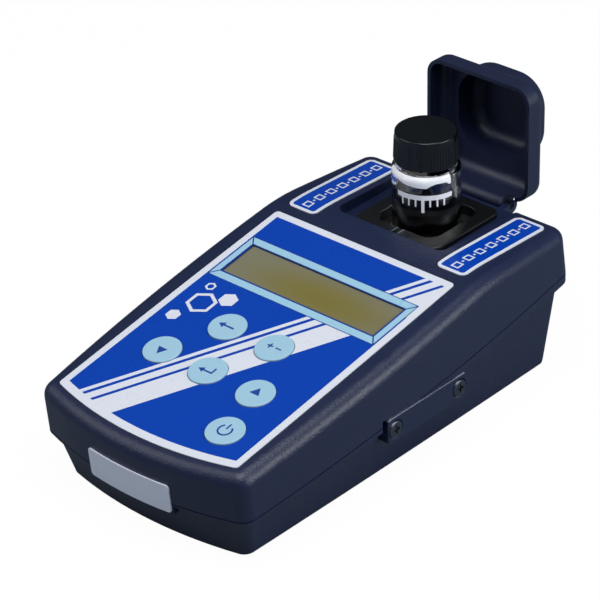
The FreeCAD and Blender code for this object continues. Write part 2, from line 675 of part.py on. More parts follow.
def lower_shell():
    """Lower half of the case: floor, flared rim, screw bosses, board posts and battery bay."""
    walls = cut("lower_walls", LOWER, [LOWER_CAVITY])
    base = "dim.foot_gap"
    bosses = [rod(f"boss_{i}", (f"{side}*dim.case_screw_x", y, base), "dim.case_boss", "50")
              for i, (side, y) in enumerate(CASE_SCREWS)]
    posts = [rod(f"post_{i}", (x, y, base), "dim.board_post_radius", "dim.floor + dim.board_post")
             for i, (x, y) in enumerate(BOARD_POSTS)]
    bay = box("bay_block", ("-dim.battery_half - dim.bay_end - dim.bay_wall", "dim.battery_front - dim.bay_gap - dim.bay_wall", base),
              ("2*(dim.battery_half + dim.bay_end + dim.bay_wall)", "dim.battery_width + 2*(dim.bay_gap + dim.bay_wall)",
               "dim.floor + dim.bay_tall"))
    plate_bosses = [plate_rod(f"plate_boss_{i}", y, "dim.plate_face - dim.plate_shank - 1", "3.8", "dim.plate_shank")
                    for i, y in enumerate(PLATE_SCREWS)]
    backing = notch_backing("plate_backing", "dim.plate_low - 1")
    inner = common("lower_inner", LOWER, fuse("lower_inner_blocks", bosses + posts + [bay, backing] + plate_bosses))
    pad_block = box("badge_pad_block", on_seam("-dim.badge_half - 0.6", "-2", "-dim.badge_below - 0.6"),
                    ("2*dim.badge_half + 1.2", "6.5", "dim.badge_below + 0.6"), "dim.seam_tilt")
    pad = common("badge_pad", UPPER_LONG, pad_block)
    whole = fuse("lower_whole", [walls, inner, pad])
    holes = [
        notch("plate_notch"),
        box("bay_hole", ("-dim.battery_half - dim.bay_end", "dim.battery_front - dim.bay_gap", "-1"),
            ("2*(dim.battery_half + dim.bay_end)", "dim.battery_width + 2*dim.bay_gap", "40")),
        box("door_hole", ("-dim.battery_half - dim.bay_end - dim.door_lap",
                          "dim.battery_front - dim.bay_gap - dim.door_lap", "-1"),
            ("2*(dim.battery_half + dim.bay_end + dim.door_lap)",
             "dim.battery_width + 2*(dim.bay_gap + dim.door_lap)", "1 + dim.foot_gap + dim.door_skin")),
    ]
    holes += [rod(f"foot_hole_{i}", (x, y, "-1"), "dim.foot_radius + 0.15", "1 + dim.foot_thick")
              for i, (x, y) in enumerate(FEET)]
    holes += [rod(f"head_hole_{i}", (f"{side}*dim.case_screw_x", y, "-1"), "dim.case_head + 0.3",
                  f"1 + {seam_z(y)} - dim.case_grip")
              for i, (side, y) in enumerate(CASE_SCREWS)]
    holes += [rod(f"shank_hole_{i}", (f"{side}*dim.case_screw_x", y, "-1"), "dim.shank_radius + 0.2", "60")
              for i, (side, y) in enumerate(CASE_SCREWS)]
    holes += [plate_rod(f"plate_pilot_{i}", y, "dim.plate_face - dim.plate_shank",
                        "dim.shank_radius + dim.thread_gap", "dim.plate_shank + 2")
              for i, y in enumerate(PLATE_SCREWS)]
    return part("lower_shell", cut("lower_body", whole, holes))


def plate_rod(name, y, start, radius, length):
    """A rod along X on one of the side plate's screw axes."""
    return rod(name, (start, y, "dim.plate_low + dim.plate_tall/2"), radius, length, "x")


def notch(name, back="dim.notch_back"):
    """Room cut into the flare round the side plate, under a ceiling that falls towards the rear."""
    length = "dim.plate_length + dim.notch_ahead + dim.notch_gap"
    tall = "dim.plate_tall + dim.notch_rise + 3"
    return box(name, (back, "dim.plate_front - dim.notch_ahead", f"dim.plate_low + dim.plate_tall + dim.notch_rise - ({tall})"),
               ("12", length, tall), "-dim.notch_slope")


def notch_backing(name, low):
    """Thicker wall behind the notch."""
    return box(name, ("dim.notch_back - dim.notch_wall", "dim.plate_front - dim.notch_ahead - 1.6", low),
               ("10", "dim.plate_length + dim.notch_ahead + 3.2", f"dim.plate_low + dim.plate_tall + 6 - ({low})"))


def on_seam(across, along, lift):
    """Place over the parting plane: across the case, along the plane and out of it."""
    return (
        across,
        f"dim.seam_front + ({along})*{cosine('seam_tilt')} - ({lift})*{sine('seam_tilt')}",
        f"dim.seam_height + ({along})*{sine('seam_tilt')} + ({lift})*{cosine('seam_tilt')}",
    )


PLATE_SCREWS = ["dim.plate_front + dim.plate_screw_inset",
                "dim.plate_front + dim.plate_length - dim.plate_screw_inset"]
BOARD_POSTS = [(f"{side}*(dim.board_half_x - 5)", f"dim.board_front + {y}")
               for side in (-1, 1) for y in ("5", "dim.board_length - 5")]
FEET = [(f"{side}*dim.foot_x", y) for y in ("dim.foot_front", "dim.foot_rear") for side in (-1, 1)]


def pan_screw(name, y):
    """A cross-recessed pan-head screw of the side plate."""
    seat = "dim.plate_face - dim.pan_sink"
    head = plate_rod(f"{name}_head", y, seat, "dim.pan_radius", "dim.pan_height")
    top = num(f"{seat} + dim.pan_height")
    domed = fillet_edges(f"{name}_dome", head, "0.7", lambda e: abs(e.CenterOfMass.x - top) < 1e-4)
    shank = plate_rod(f"{name}_shank", y, "dim.plate_face - dim.plate_shank", "dim.shank_radius",
                      "dim.plate_shank - dim.pan_sink + 0.3")
    deep, middle = f"{seat} + dim.pan_height - 0.7", "dim.plate_low + dim.plate_tall/2"
    slots = [box(f"{name}_slot_a", (deep, f"{y} - 1.5", f"{middle} - 0.4"), ("2", "3", "0.8")),
             box(f"{name}_slot_b", (deep, f"{y} - 0.4", f"{middle} - 1.5"), ("2", "0.8", "3"))]
    return cut(name, fuse(f"{name}_whole", [domed, shank]), slots)


def side_plate():
    """Cover plate on the right side, seated on the drafted wall, with its two screws."""
    block = box("plate_block", ("dim.crease_half - 8", "dim.plate_front", "dim.plate_low"),
                ("dim.plate_face - dim.crease_half + 8", "dim.plate_length", "dim.plate_tall"))
    corners = fillet_edges("plate_corners", block, "1.6", lambda e: abs(e.tangentAt(e.FirstParameter).x) > 0.99)
    face = num("dim.plate_face")
    rounded = fillet_edges("plate_rounding", corners, "dim.plate_round", lambda e: e.BoundBox.XMin > face - 1e-4)
    walls = [cut(f"plate_seat_{form.Name}", form, [notch(f"plate_seat_notch_{form.Name}")]) for form in (LOWER, UPPER)]
    holes = [plate_rod(f"plate_hole_{i}", y, "dim.crease_half - 10", "dim.shank_radius + 0.2", "20")
             for i, y in enumerate(PLATE_SCREWS)]
    holes += [plate_rod(f"plate_sink_{i}", y, "dim.plate_face - dim.pan_sink", "dim.pan_radius + 0.3", "5")
              for i, y in enumerate(PLATE_SCREWS)]
    part("side_plate", cut("plate_body", rounded, walls + holes))
    group("side_plate_screws", [pan_screw(f"plate_screw_{i}", y) for i, y in enumerate(PLATE_SCREWS)])


def case_hardware():
    """Case screws, rubber feet and battery door."""
    screws, feet = [], []
    for i, (side, y) in enumerate(CASE_SCREWS):
        x, seat = f"{side}*dim.case_screw_x", f"{seam_z(y)} - dim.case_grip"
        head = rod(f"case_head_{i}", (x, y, f"{seat} - dim.case_head_tall"), "dim.case_head", "dim.case_head_tall")
        shank = rod(f"case_shank_{i}", (x, y, f"{seat} - 0.5"), "dim.shank_radius",
                    "dim.case_grip + dim.case_bite + 0.3")
        screws.append(fuse(f"case_screw_{i}", [head, shank]))
    group("case_screws", screws)
    for i, (x, y) in enumerate(FEET):
        feet.append(rod(f"foot_{i}", (x, y, "0"), "dim.foot_radius", "dim.foot_thick"))
    group("feet", feet)
    skin = box("door_skin_block", ("-dim.battery_half - dim.bay_end - dim.door_lap + dim.door_gap",
                                   "dim.battery_front - dim.bay_gap - dim.door_lap + dim.door_gap", "dim.foot_gap + 0.1"),
               ("2*(dim.battery_half + dim.bay_end + dim.door_lap - dim.door_gap)",
                "dim.battery_width + 2*(dim.bay_gap + dim.door_lap - dim.door_gap)", "dim.door_skin - 0.15"))
    plug = box("door_plug", ("-dim.battery_half - dim.bay_end + dim.door_gap",
                             "dim.battery_front - dim.bay_gap + dim.door_gap", "dim.foot_gap + 0.5"),
               ("2*(dim.battery_half + dim.bay_end - dim.door_gap)",
                "dim.battery_width + 2*(dim.bay_gap - dim.door_gap)", "dim.floor - 0.5"))
    part("battery_door", fuse("door_body", [skin, plug]))


def labels():
    """Keypad overlay, the two strips on the top and the plate on the front."""
    sheet = overlay_body("overlay_sheet", "0", "-dim.overlay_depth", "dim.overlay_thick - dim.overlay_depth")
    holes = [display_box("overlay_window", "0", "-2", "2")]
    holes += [key_rod(f"{key}_overlay_hole", key, "dim.key_radius + dim.key_gap", "-2", "2") for key in KEYS]
    part("keypad_overlay", cut("overlay_cut", sheet, holes))
    skin = cut("label_skin", upper_form("label_form", "-dim.skin"), [UPPER])
    for side, node in ((-1, "strip_label_left"), (1, "strip_label_right")):
        prism = rounded_prism(f"{node}_prism", (f"{side}*(dim.strip_inner + dim.strip_outer)/2",
                                                "(dim.strip_front + dim.strip_rear)/2", "dim.recess_floor - 4"),
                              "(dim.strip_outer - dim.strip_inner)/2", "(dim.strip_rear - dim.strip_front)/2", "12",
                              "dim.strip_round")
        part(node, common(f"{node}_sheet", skin, prism))
    cover = cut("badge_skin", upper_form("badge_form", "-dim.badge_thick", "-dim.badge_below - 1"), [UPPER_LONG])
    window = box("badge_window", on_seam("-dim.badge_half", "-6", "-dim.badge_below"),
                 ("2*dim.badge_half", "14", "dim.badge_tall"), "dim.seam_tilt")
    rounded = fillet_edges("badge_round", window, "1.2", lambda e: abs(e.tangentAt(e.FirstParameter).y) > 0.95)
    part("front_badge", cut("badge_body", common("badge_sheet", cover, rounded), [LOWER]))


def keys():
    """The six keys with their snap domes and the board that carries the domes."""
    top = "dim.key_proud"
    for key in KEYS:
        cap = key_rod(f"{key}_cap", key, "dim.key_radius", f"{top} - dim.key_thick", top)
        part(key, fillet_edges(f"{key}_round", cap, "0.3", lambda e: len(e.Vertexes) == 1))
    dome_top = f"{top} - dim.key_thick - dim.key_travel - 0.1"
    domes = []
    for key in KEYS:
        at = on_panel(f"dim.{key}_across", f"dim.{key}_up", f"{dome_top} - dim.dome_height")
        domes.append(solid("Cone", f"{key}_dome", at, "dim.panel_tilt", Radius1="dim.dome_radius",
                           Radius2="dim.dome_radius*0.55", Height="dim.dome_height"))
    group("snap_domes", domes)
    board = box("keypad_board_block", on_panel("-dim.overlay_half + 10.2", "1", f"{dome_top} - dim.dome_height - dim.board_thick"),
                ("2*(dim.overlay_half - 10.2)", "dim.display_start - dim.glass_margin - dim.bezel_wall - 4", "dim.board_thick"),
                "dim.panel_tilt")
    part("keypad_board", board)


def display():
    """Clear window, liquid crystal glass in its metal frame, and the board behind."""
    part("display_window", display_box("window_block", "-0.05", "-dim.window_sunk - dim.window_thick", "-dim.window_sunk"))
    front = "-dim.wall - 0.1"
    glass = display_box("glass_block", "dim.glass_margin", f"{front} - dim.glass_thick", front)
    part("display_glass", glass)
    frame = display_box("bezel_block", "dim.glass_margin + dim.bezel_wall", f"{front} - dim.glass_thick - 1", front)
    hole = display_box("bezel_hole", "dim.glass_margin", f"{front} - dim.glass_thick - 2", "1")
    part("display_bezel", cut("bezel_body", frame, [hole]))
    part("display_board", display_box("display_board_block", "dim.glass_margin + dim.bezel_wall + 2",
                                      f"{front} - dim.glass_thick - 1 - dim.board_thick",
                                      f"{front} - dim.glass_thick - 1"))


def chamber():
    """Collar round the chamber's mouth, cell holder, light source, filter and detector."""
    floor = "dim.recess_floor"
    rim = rounded_prism("collar_rim", (*CHAMBER, floor), "dim.collar_half_x", "dim.collar_half_y",
                        "dim.collar_height", "dim.collar_round")
    rim_top = num("dim.recess_floor + dim.collar_height")
    edge = fillet_edges("collar_edge", rim, "0.6", lambda e: abs(e.CenterOfMass.z - rim_top) < 1e-4)
    skirt = rounded_prism("collar_skirt_block", (*CHAMBER, f"{floor} - dim.collar_skirt_depth"),
                          "dim.collar_opening + dim.collar_skirt", "dim.collar_opening + dim.collar_skirt",
                          "dim.collar_skirt_depth + 0.5", "dim.collar_opening_round + dim.collar_skirt")
    mouth = rounded_prism("collar_mouth", (*CHAMBER, f"{floor} - 10"), "dim.collar_opening",
                          "dim.collar_opening", "20", "dim.collar_opening_round")
    notch = box("collar_notch_block", ("-dim.collar_notch/2", "dim.vial_axis - dim.collar_half_y - 1",
                                       f"{floor} + dim.collar_height - 0.6"),
                ("dim.collar_notch", "dim.collar_half_y - dim.collar_opening + 2", "2"))
    ring = cut("collar_ring", fuse("collar_whole", [edge, skirt]), [mouth])
    reach = num("dim.collar_opening + 0.01")
    softened = fillet_edges("collar_lip", ring, "0.6",
                            lambda e: abs(e.BoundBox.ZMin - rim_top) < 1e-4 and abs(e.BoundBox.ZMax - rim_top) < 1e-4
                            and abs(e.CenterOfMass.x) < reach and abs(e.CenterOfMass.y - num("dim.vial_axis")) < reach)
    part("chamber_collar", cut("collar_body", softened, [notch]))

    bottom = "dim.foot_gap + dim.floor"
    tall = f"{floor} - dim.recess_plate - 0.1 - ({bottom})"
    block = rounded_prism("holder_block", (*CHAMBER, bottom), "dim.holder_half_x", "dim.holder_half_y", tall, "2")
    bore = rod("holder_bore_rod", (*CHAMBER, f"{bottom} + dim.holder_bottom"), "dim.holder_bore", "60")
    beam = rod("beam_rod", ("-dim.holder_half_x - 1", "dim.vial_axis", "dim.beam_height"), "dim.beam_radius",
               "2*dim.holder_half_x + 2", "x")
    filter_seat = rod("filter_seat", ("dim.holder_bore + 0.6", "dim.vial_axis", "dim.beam_height"),
                      "dim.filter_radius + 0.05", "10", "x")
    part("cell_holder", cut("holder_body", block, [bore, beam, filter_seat]))
    part("light_source", rod("lamp_rod", ("-dim.holder_half_x", "dim.vial_axis", "dim.beam_height"),
                             "dim.beam_radius - 0.1", "dim.holder_half_x - dim.holder_bore - 0.6", "x"))
    part("colour_filter", rod("filter_rod", ("dim.holder_bore + 0.6", "dim.vial_axis", "dim.beam_height"),
                              "dim.filter_radius", "dim.filter_thick", "x"))
    part("light_detector", rod("sensor_rod", ("dim.holder_bore + 0.6 + dim.filter_thick", "dim.vial_axis", "dim.beam_height"),
                               "dim.sensor_radius", "dim.holder_half_x - dim.holder_bore - 0.6 - dim.filter_thick", "x"))
    for node, x in (("lamp_board", "-dim.holder_half_x - dim.board_thick"), ("detector_board", "dim.holder_half_x")):
        part(node, box(f"{node}_block", (x, "dim.vial_axis - dim.optic_board_half", "dim.beam_height - dim.optic_board_half"),
                       ("dim.board_thick", "2*dim.optic_board_half", "2*dim.optic_board_half")))


def vial():
    """Glass vial with its sample, screw cap and liner, and the sprung lifter under it."""
    bottom, axis = "dim.vial_bottom", CHAMBER
    shoulder = f"{bottom} + dim.vial_body"
    neck = f"{shoulder} + dim.vial_shoulder"

    def bottle(prefix, inset, low):
        """The vial's outer form, or its inside when inset."""
        barrel = rod(f"{prefix}_barrel", (*axis, low), f"dim.vial_radius - ({inset})", f"{shoulder} - ({low})")
        cone = solid("Cone", f"{prefix}_cone", (*axis, shoulder), Radius1=f"dim.vial_radius - ({inset})",
                     Radius2=f"dim.neck_radius - ({inset})", Height="dim.vial_shoulder")
        throat = rod(f"{prefix}_neck", (*axis, neck), f"dim.neck_radius - ({inset})",
                     f"dim.neck_length + ({inset})")
        whole = fuse(f"{prefix}_form", [barrel, cone, throat])
        level = num(shoulder)
        return fillet_edges(f"{prefix}_bend", whole, f"dim.vial_bend - ({inset})",
                            lambda e: abs(e.BoundBox.ZMin - level) < 1e-4 and abs(e.BoundBox.ZMax - level) < 1e-4)

    part("vial_glass", cut("vial_body", bottle("vial", "0", bottom), [bottle("inside", "dim.vial_wall", f"{bottom} + dim.vial_wall")]))
    part("sample_liquid", rod("liquid_rod", (*axis, f"{bottom} + dim.vial_wall"), "dim.vial_radius - dim.vial_wall",
                              f"dim.liquid_level - {bottom} - dim.vial_wall"))
    cap_low = "dim.cap_top - dim.cap_height"
    outer = solid("Cone", "cap_cone", (*axis, cap_low), Radius1="dim.cap_radius", Radius2="dim.cap_top_radius",
                  Height="dim.cap_height")
    edge = fillet_edges("cap_edge", outer, "0.5", lambda e: len(e.Vertexes) == 1 and e.CenterOfMass.z > num(cap_low) + 5)
    hollow = rod("cap_hollow", (*axis, f"{cap_low} - 1"), "dim.neck_radius + 0.1", "dim.cap_height - dim.cap_wall + 1")
    part("vial_cap", cut("cap_body", edge, [hollow]))
    part("cap_liner", rod("liner_rod", (*axis, f"{neck} + dim.neck_length"), "dim.neck_radius",
                          f"dim.cap_top - dim.cap_wall - ({neck}) - dim.neck_length"))
    part("vial_lifter", rod("lifter_rod", (*axis, f"{bottom} - dim.lifter_thick"), "dim.lifter_radius", "dim.lifter_thick"))
    seat = "dim.foot_gap + dim.floor + dim.holder_bottom"
    free = f"{bottom} - dim.lifter_thick - ({seat}) - 2*dim.spring_wire - 0.1"
    coil = solid("Helix", "spring_helix", (*axis, f"{seat} + dim.spring_wire + 0.05"), Radius="dim.spring_radius",
                 Pitch=f"({free})/dim.spring_turns", Height=free)
    coil.SegmentLength = 0.25
    DOC.recompute()
    wire = solid("RegularPolygon", "spring_section", ("dim.spring_radius", axis[1], f"{seat} + dim.spring_wire + 0.05"),
                 "90", (1, 0, 0), Polygon="6", Circumradius="dim.spring_wire")
    sweep = DOC.addObject("Part::Sweep", "spring_sweep")
    sweep.Sections = [wire]
    sweep.Spine = (coil, [f"Edge{index}" for index in range(1, len(coil.Shape.Edges) + 1)])
    sweep.Solid = True
    sweep.Frenet = True
    part("lifter_spring", sweep)


def lid():
    """Lid with its raised middle, hollow inside, and the hinge knuckle; drawn shut, then opened."""
    depth = "(dim.lid_front - dim.lid_back)/2"
    middle = "-(dim.lid_front + dim.lid_back)/2"
    bump_y = "dim.vial_axis - dim.hinge_y"
    top = num("dim.lid_lift + dim.lid_height")
    bump_top = num("dim.lid_lift + dim.lid_height + dim.bump_height")

    def level(z):
        return lambda e: abs(e.BoundBox.ZMin - z) < 1e-4 and abs(e.BoundBox.ZMax - z) < 1e-4

    def form(prefix, inset):
        """The lid's outer form, or its hollow when inset."""
        slab = rounded_prism(f"{prefix}_slab", ("0", middle, f"dim.lid_lift - ({inset})"),
                             f"dim.lid_half - ({inset})", f"{depth} - ({inset})", "dim.lid_height",
                             f"dim.lid_round - ({inset})")
        bump = rounded_prism(f"{prefix}_bump", ("0", bump_y, f"dim.lid_lift + 3 - ({inset})"),
                             f"dim.bump_half_x - ({inset})", f"dim.bump_half_y - ({inset})",
                             "dim.lid_height + dim.bump_height - 3", f"dim.bump_round - ({inset})")
        drop = num(inset)
        slab_edge = fillet_edges(f"{prefix}_slab_edge", slab, f"dim.lid_edge - ({inset})*0.5", level(top - drop))
        bump_edge = fillet_edges(f"{prefix}_bump_edge", bump, f"dim.bump_edge - ({inset})*0.5", level(bump_top - drop))
        return fuse(f"{prefix}_form", [slab_edge, bump_edge])

    knuckle = rod("knuckle_rod", ("-dim.knuckle_half", "0", "0"), "dim.barrel_radius", "2*dim.knuckle_half", "x")
    web = box("knuckle_web", ("-dim.knuckle_half", "-dim.lid_back - dim.lid_wall", "-0.4"),
              ("2*dim.knuckle_half", "dim.lid_back + dim.lid_wall", "dim.lid_lift + 4"))
    clear = []
    for side in (-1, 1):
        x = "dim.knuckle_half" if side > 0 else "-dim.knuckle_half - dim.ear_width - 2*dim.ear_gap"
        clear.append(rod(f"ear_clear_{side}", (x, "0", "0"), "dim.barrel_radius + dim.ear_gap",
                         "dim.ear_width + 2*dim.ear_gap", "x"))
    bore = rod("knuckle_bore", ("-dim.lid_half", "0", "0"), "dim.pin_radius + dim.pin_gap", "2*dim.lid_half", "x")
    shell = cut("lid_shell", form("lid", "0"), [form("lid_hollow", "dim.lid_wall")])
    whole = cut("lid_body", fuse("lid_whole", [shell, knuckle, web]), [bore] + clear)
    place(whole, ("0", "dim.hinge_y", "dim.hinge_z"), "-dim.hinge_open")
    part("lid", whole)
    part("hinge_pin", rod("pin_rod", ("-dim.knuckle_half - dim.ear_gap - dim.ear_width + 0.3", "dim.hinge_y", "dim.hinge_z"),
                          "dim.pin_radius", "2*(dim.knuckle_half + dim.ear_gap + dim.ear_width - 0.3)", "x"))


def electronics():
    """Main board, battery and its contacts."""
    floor = "dim.foot_gap + dim.floor"
    part("main_board", box("main_board_block", ("-dim.board_half_x", "dim.board_front", f"{floor} + dim.board_post"),
                           ("2*dim.board_half_x", "dim.board_length", "dim.board_thick")))
    part("battery", box("battery_block", ("-dim.battery_half", "dim.battery_front", f"{floor} + 0.1"),
                        ("2*dim.battery_half", "dim.battery_width", "dim.battery_tall")))
    part("battery_contacts", box("contact_block", ("dim.battery_half + 0.1", "dim.battery_front + 3", f"{floor} + 2"),
                                 ("dim.bay_end - 0.2", "dim.battery_width - 6", "dim.bay_tall - 4")))


def check_and_write():
    """Stop on any failed object or bad shape, then write each piece."""
    DOC.recompute()
    failed = [f"{o.Label}: {o.State}" for o in DOC.Objects if {"Invalid", "Error"} & set(o.State)]
    for node, obj in PARTS.items():
        if obj.Shape.isNull() or not obj.Shape.isValid() or not obj.Shape.Solids:
            failed.append(f"{node}: bad shape")
    if failed:
        raise RuntimeError("; ".join(failed))
    os.makedirs("parts", exist_ok=True)
    for node, obj in PARTS.items():
        obj.Shape.exportStep(os.path.join("parts", f"{node}.step"))
        print(f"{node}: {len(obj.Shape.Solids)} solid(s), {obj.Shape.Volume:.1f} mm3")


upper_shell()
lower_shell()
side_plate()
case_hardware()
labels()
keys()
display()
chamber()
vial()
lid()
electronics()
check_and_write()
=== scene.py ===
"""Looks of a digital colorimeter: a wedge-shaped case, an inclined keypad, a capped vial and a hinged lid."""
import json
import logging
import math
from dataclasses import dataclass, field
from enum import Enum
from typing import Any, Sequence

import bmesh
import bpy
from mathutils import Matrix, Vector

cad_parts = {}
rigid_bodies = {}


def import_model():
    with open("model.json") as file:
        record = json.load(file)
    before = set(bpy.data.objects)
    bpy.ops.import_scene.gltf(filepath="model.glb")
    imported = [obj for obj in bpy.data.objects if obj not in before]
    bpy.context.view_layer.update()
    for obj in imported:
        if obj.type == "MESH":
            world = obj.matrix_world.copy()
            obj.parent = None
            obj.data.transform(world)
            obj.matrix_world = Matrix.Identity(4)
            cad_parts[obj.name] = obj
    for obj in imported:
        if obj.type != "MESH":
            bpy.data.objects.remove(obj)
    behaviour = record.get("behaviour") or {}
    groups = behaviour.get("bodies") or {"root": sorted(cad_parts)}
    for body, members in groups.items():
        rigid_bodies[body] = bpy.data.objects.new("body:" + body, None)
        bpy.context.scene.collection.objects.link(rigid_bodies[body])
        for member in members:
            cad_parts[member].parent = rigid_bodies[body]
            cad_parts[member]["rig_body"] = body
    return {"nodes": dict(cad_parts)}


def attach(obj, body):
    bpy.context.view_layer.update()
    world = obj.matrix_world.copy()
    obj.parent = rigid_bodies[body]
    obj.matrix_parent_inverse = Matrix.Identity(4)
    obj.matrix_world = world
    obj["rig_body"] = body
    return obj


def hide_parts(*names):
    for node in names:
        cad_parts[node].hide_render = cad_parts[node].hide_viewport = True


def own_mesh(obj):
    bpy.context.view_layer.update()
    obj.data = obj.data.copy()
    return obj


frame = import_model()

LOG = logging.getLogger("colorimeter")
MM = 0.001
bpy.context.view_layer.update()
VIAL_AXIS_Y = 52.0  # where the vial and the spring under it stand, in millimetres
WELD = 0.002  # corners closer than this are one, in millimetres
SHARP = math.radians(35)  # edges of a new piece that turn more than this stay sharp
# Sockets of a colour mix: its factor and its two colours, and the mixed colour.
FACTOR, UNDER, OVER, MIXED = 0, 6, 7, 2
WHITE = (1.0, 1.0, 1.0, 1.0)


def linear(code: str) -> tuple[float, float, float, float]:
    """Turn an sRGB hex value to the linear colour that a shader takes.

    Args:
        code: Colour as "#rrggbb".

    Returns:
        Linear red, green, blue and an alpha of 1.
    """
    parts = [int(code[i:i + 2], 16) / 255 for i in (1, 3, 5)]
    red, green, blue = (c / 12.92 if c <= 0.04045 else ((c + 0.055) / 1.055) ** 2.4 for c in parts)
    return red, green, blue, 1.0


def add_node(tree: bpy.types.NodeTree, kind: str, links: dict[Any, Any] | None = None,
             **settings: Any) -> bpy.types.Node:
    """Add a node with its settings, and feed its inputs.

    Args:
        tree: The material's or world's node tree.
        kind: The node's type name.
        links: Input name or number to the socket or the value that feeds it.
        **settings: The node's own properties.

    Returns:
        The new node.
    """
    node = tree.nodes.new(kind)
    for name, value in settings.items():
        setattr(node, name, value)
    for key, source in (links or {}).items():
        if isinstance(source, bpy.types.NodeSocket):
            tree.links.new(source, node.inputs[key])
        else:
            node.inputs[key].default_value = source
    return node


def work_out(tree: bpy.types.NodeTree, values: dict[str, Any], steps: Sequence[tuple]) -> dict[str, Any]:
    """Work through rows of arithmetic on a pattern's coordinates.

    Args:
        tree: The material's node tree.
        values: Sockets known so far, by name.
        steps: Rows of result name, operation and its operands, each a known name or a number.

    Returns:
        The sockets, with each row's result added.
    """
    for name, operation, *operands in steps:
        links = {i: values[v] if isinstance(v, str) else v for i, v in enumerate(operands)}
        values[name] = add_node(tree, "ShaderNodeMath", links, operation=operation).outputs[0]
    return values


@dataclass(frozen=True)
class Finish:
    """A plain finish: one shader with its colour, and a bump from a fine noise.

    Attributes:
        name: The material's name.
        colour: sRGB hex value.
        roughness: Shader roughness.
        metallic: 1 for bare metal.
        ior: Index of refraction of a plastic or glass.
        transmission: 1 for clear material.
        alpha: How opaque a thin film is.
        grain: Size of the surface texture's grain, in millimetres.
        relief: Height of that texture, in millimetres.
        mottle: How much the colour varies over the surface, as a share.
        stretch: Stretch of the grain along X, Y and Z.
        cloud: Size of the soft noise that varies colour and roughness, in millimetres.
        uneven: How far the roughness strays to either side, as a share.
    """

    name: str
    colour: str
    roughness: float = 0.45
    metallic: float = 0.0
    ior: float = 1.5
    transmission: float = 0.0
    alpha: float = 1.0
    grain: float = 0.5
    relief: float = 0.0
    mottle: float = 0.06
    stretch: tuple[float, float, float] = (1.0, 1.0, 1.0)
    cloud: float = 9.0
    uneven: float = 0.12

    def material(self) -> bpy.types.Material:
        """Make the material.

        Returns:
            The finished material.
        """
        made = bpy.data.materials.new(self.name)
        made.use_nodes = True
        tree = made.node_tree
        tree.nodes.clear()
        place = add_node(tree, "ShaderNodeTexCoord").outputs["Object"]
        scaled = add_node(tree, "ShaderNodeMapping", {"Vector": place, "Scale": self.stretch}).outputs[0]
        body = add_node(tree, "ShaderNodeBsdfPrincipled", {
            "Metallic": self.metallic, "Transmission Weight": self.transmission, "Alpha": self.alpha})
        if not self.metallic:
            body.inputs["IOR"].default_value = self.ior
        broad = add_node(tree, "ShaderNodeTexNoise", {
            "Vector": scaled, "Scale": 1 / (self.cloud * MM), "Detail": 3.0})
        self.tint(tree, body, broad.outputs["Fac"], place)
        spread = add_node(tree, "ShaderNodeMapRange", {
            "Value": broad.outputs["Fac"], "To Min": self.roughness * (1 - self.uneven),
            "To Max": min(1.0, self.roughness * (1 + self.uneven))})
        tree.links.new(spread.outputs[0], body.inputs["Roughness"])
        if self.relief:
            fine = add_node(tree, "ShaderNodeTexNoise", {
                "Vector": scaled, "Scale": 1 / (self.grain * MM), "Detail": 2.0, "Roughness": 0.6})
            bump = add_node(tree, "ShaderNodeBump", {
                "Height": fine.outputs["Fac"], "Strength": 1.0, "Distance": self.relief * MM})
            tree.links.new(bump.outputs[0], body.inputs["Normal"])
        out = add_node(tree, "ShaderNodeOutputMaterial")
        tree.links.new(body.outputs[0], out.inputs[0])
        return made

    def tint(self, tree: bpy.types.NodeTree, body: bpy.types.Node, cloud: bpy.types.NodeSocket,
             place: bpy.types.NodeSocket) -> None:
        """Colour the shader, slightly uneven as moulded and printed surfaces are.

        Args:
            tree: The material's node tree.
            body: The shader.
            cloud: A soft noise.
            place: Object coordinates, in metres; not used.
        """
        light = linear(self.colour)
        dark = tuple(c * (1 - self.mottle * 2) for c in light[:3]) + (1.0,)
        mixed = add_node(tree, "ShaderNodeMix", {FACTOR: cloud, UNDER: dark, OVER: light}, data_type="RGBA")
        tree.links.new(mixed.outputs[MIXED], body.inputs["Base Color"])


def lay_ink(tree: bpy.types.NodeTree, under: Any, ink: str,
            mask: bpy.types.NodeSocket) -> bpy.types.NodeSocket:
    """Print one ink over the colour under it, where a mask is 1.

    Args:
        tree: The material's node tree.
        under: Colour socket or value under the ink.
        ink: sRGB hex value of the ink.
        mask: Where the ink lies.

    Returns:
        The colour socket with the ink on it.
    """
    mixed = add_node(tree, "ShaderNodeMix", {FACTOR: mask, UNDER: under, OVER: linear(ink)}, data_type="RGBA")
    return mixed.outputs[MIXED]


@dataclass(frozen=True)
class PanelPlane:
    """The inclined panel: its front line and height in millimetres, and its tilt in radians."""

    front: float = -88.0
    height: float = 36.6
    tilt: float = math.radians(9.52)

    def at(self, across: float, up: float, out: float) -> Vector:
        """Give the place of a point on the panel, in metres.

        Args:
            across: Distance from the middle line, in millimetres.
            up: Distance up the slope from the front line.
            out: Height over the surface.

        Returns:
            The point in the object's own frame.
        """
        c, s = math.cos(self.tilt), math.sin(self.tilt)
        return Vector((across, self.front + up * c - out * s, self.height + up * s + out * c)) * MM

    def matrix(self, across: float, up: float, out: float) -> Matrix:
        """Give the matrix that lays a flat piece on the panel, at the same three distances."""
        return Matrix.Translation(self.at(across, up, out)) @ Matrix.Rotation(self.tilt, 4, "X")


PANEL = PanelPlane()


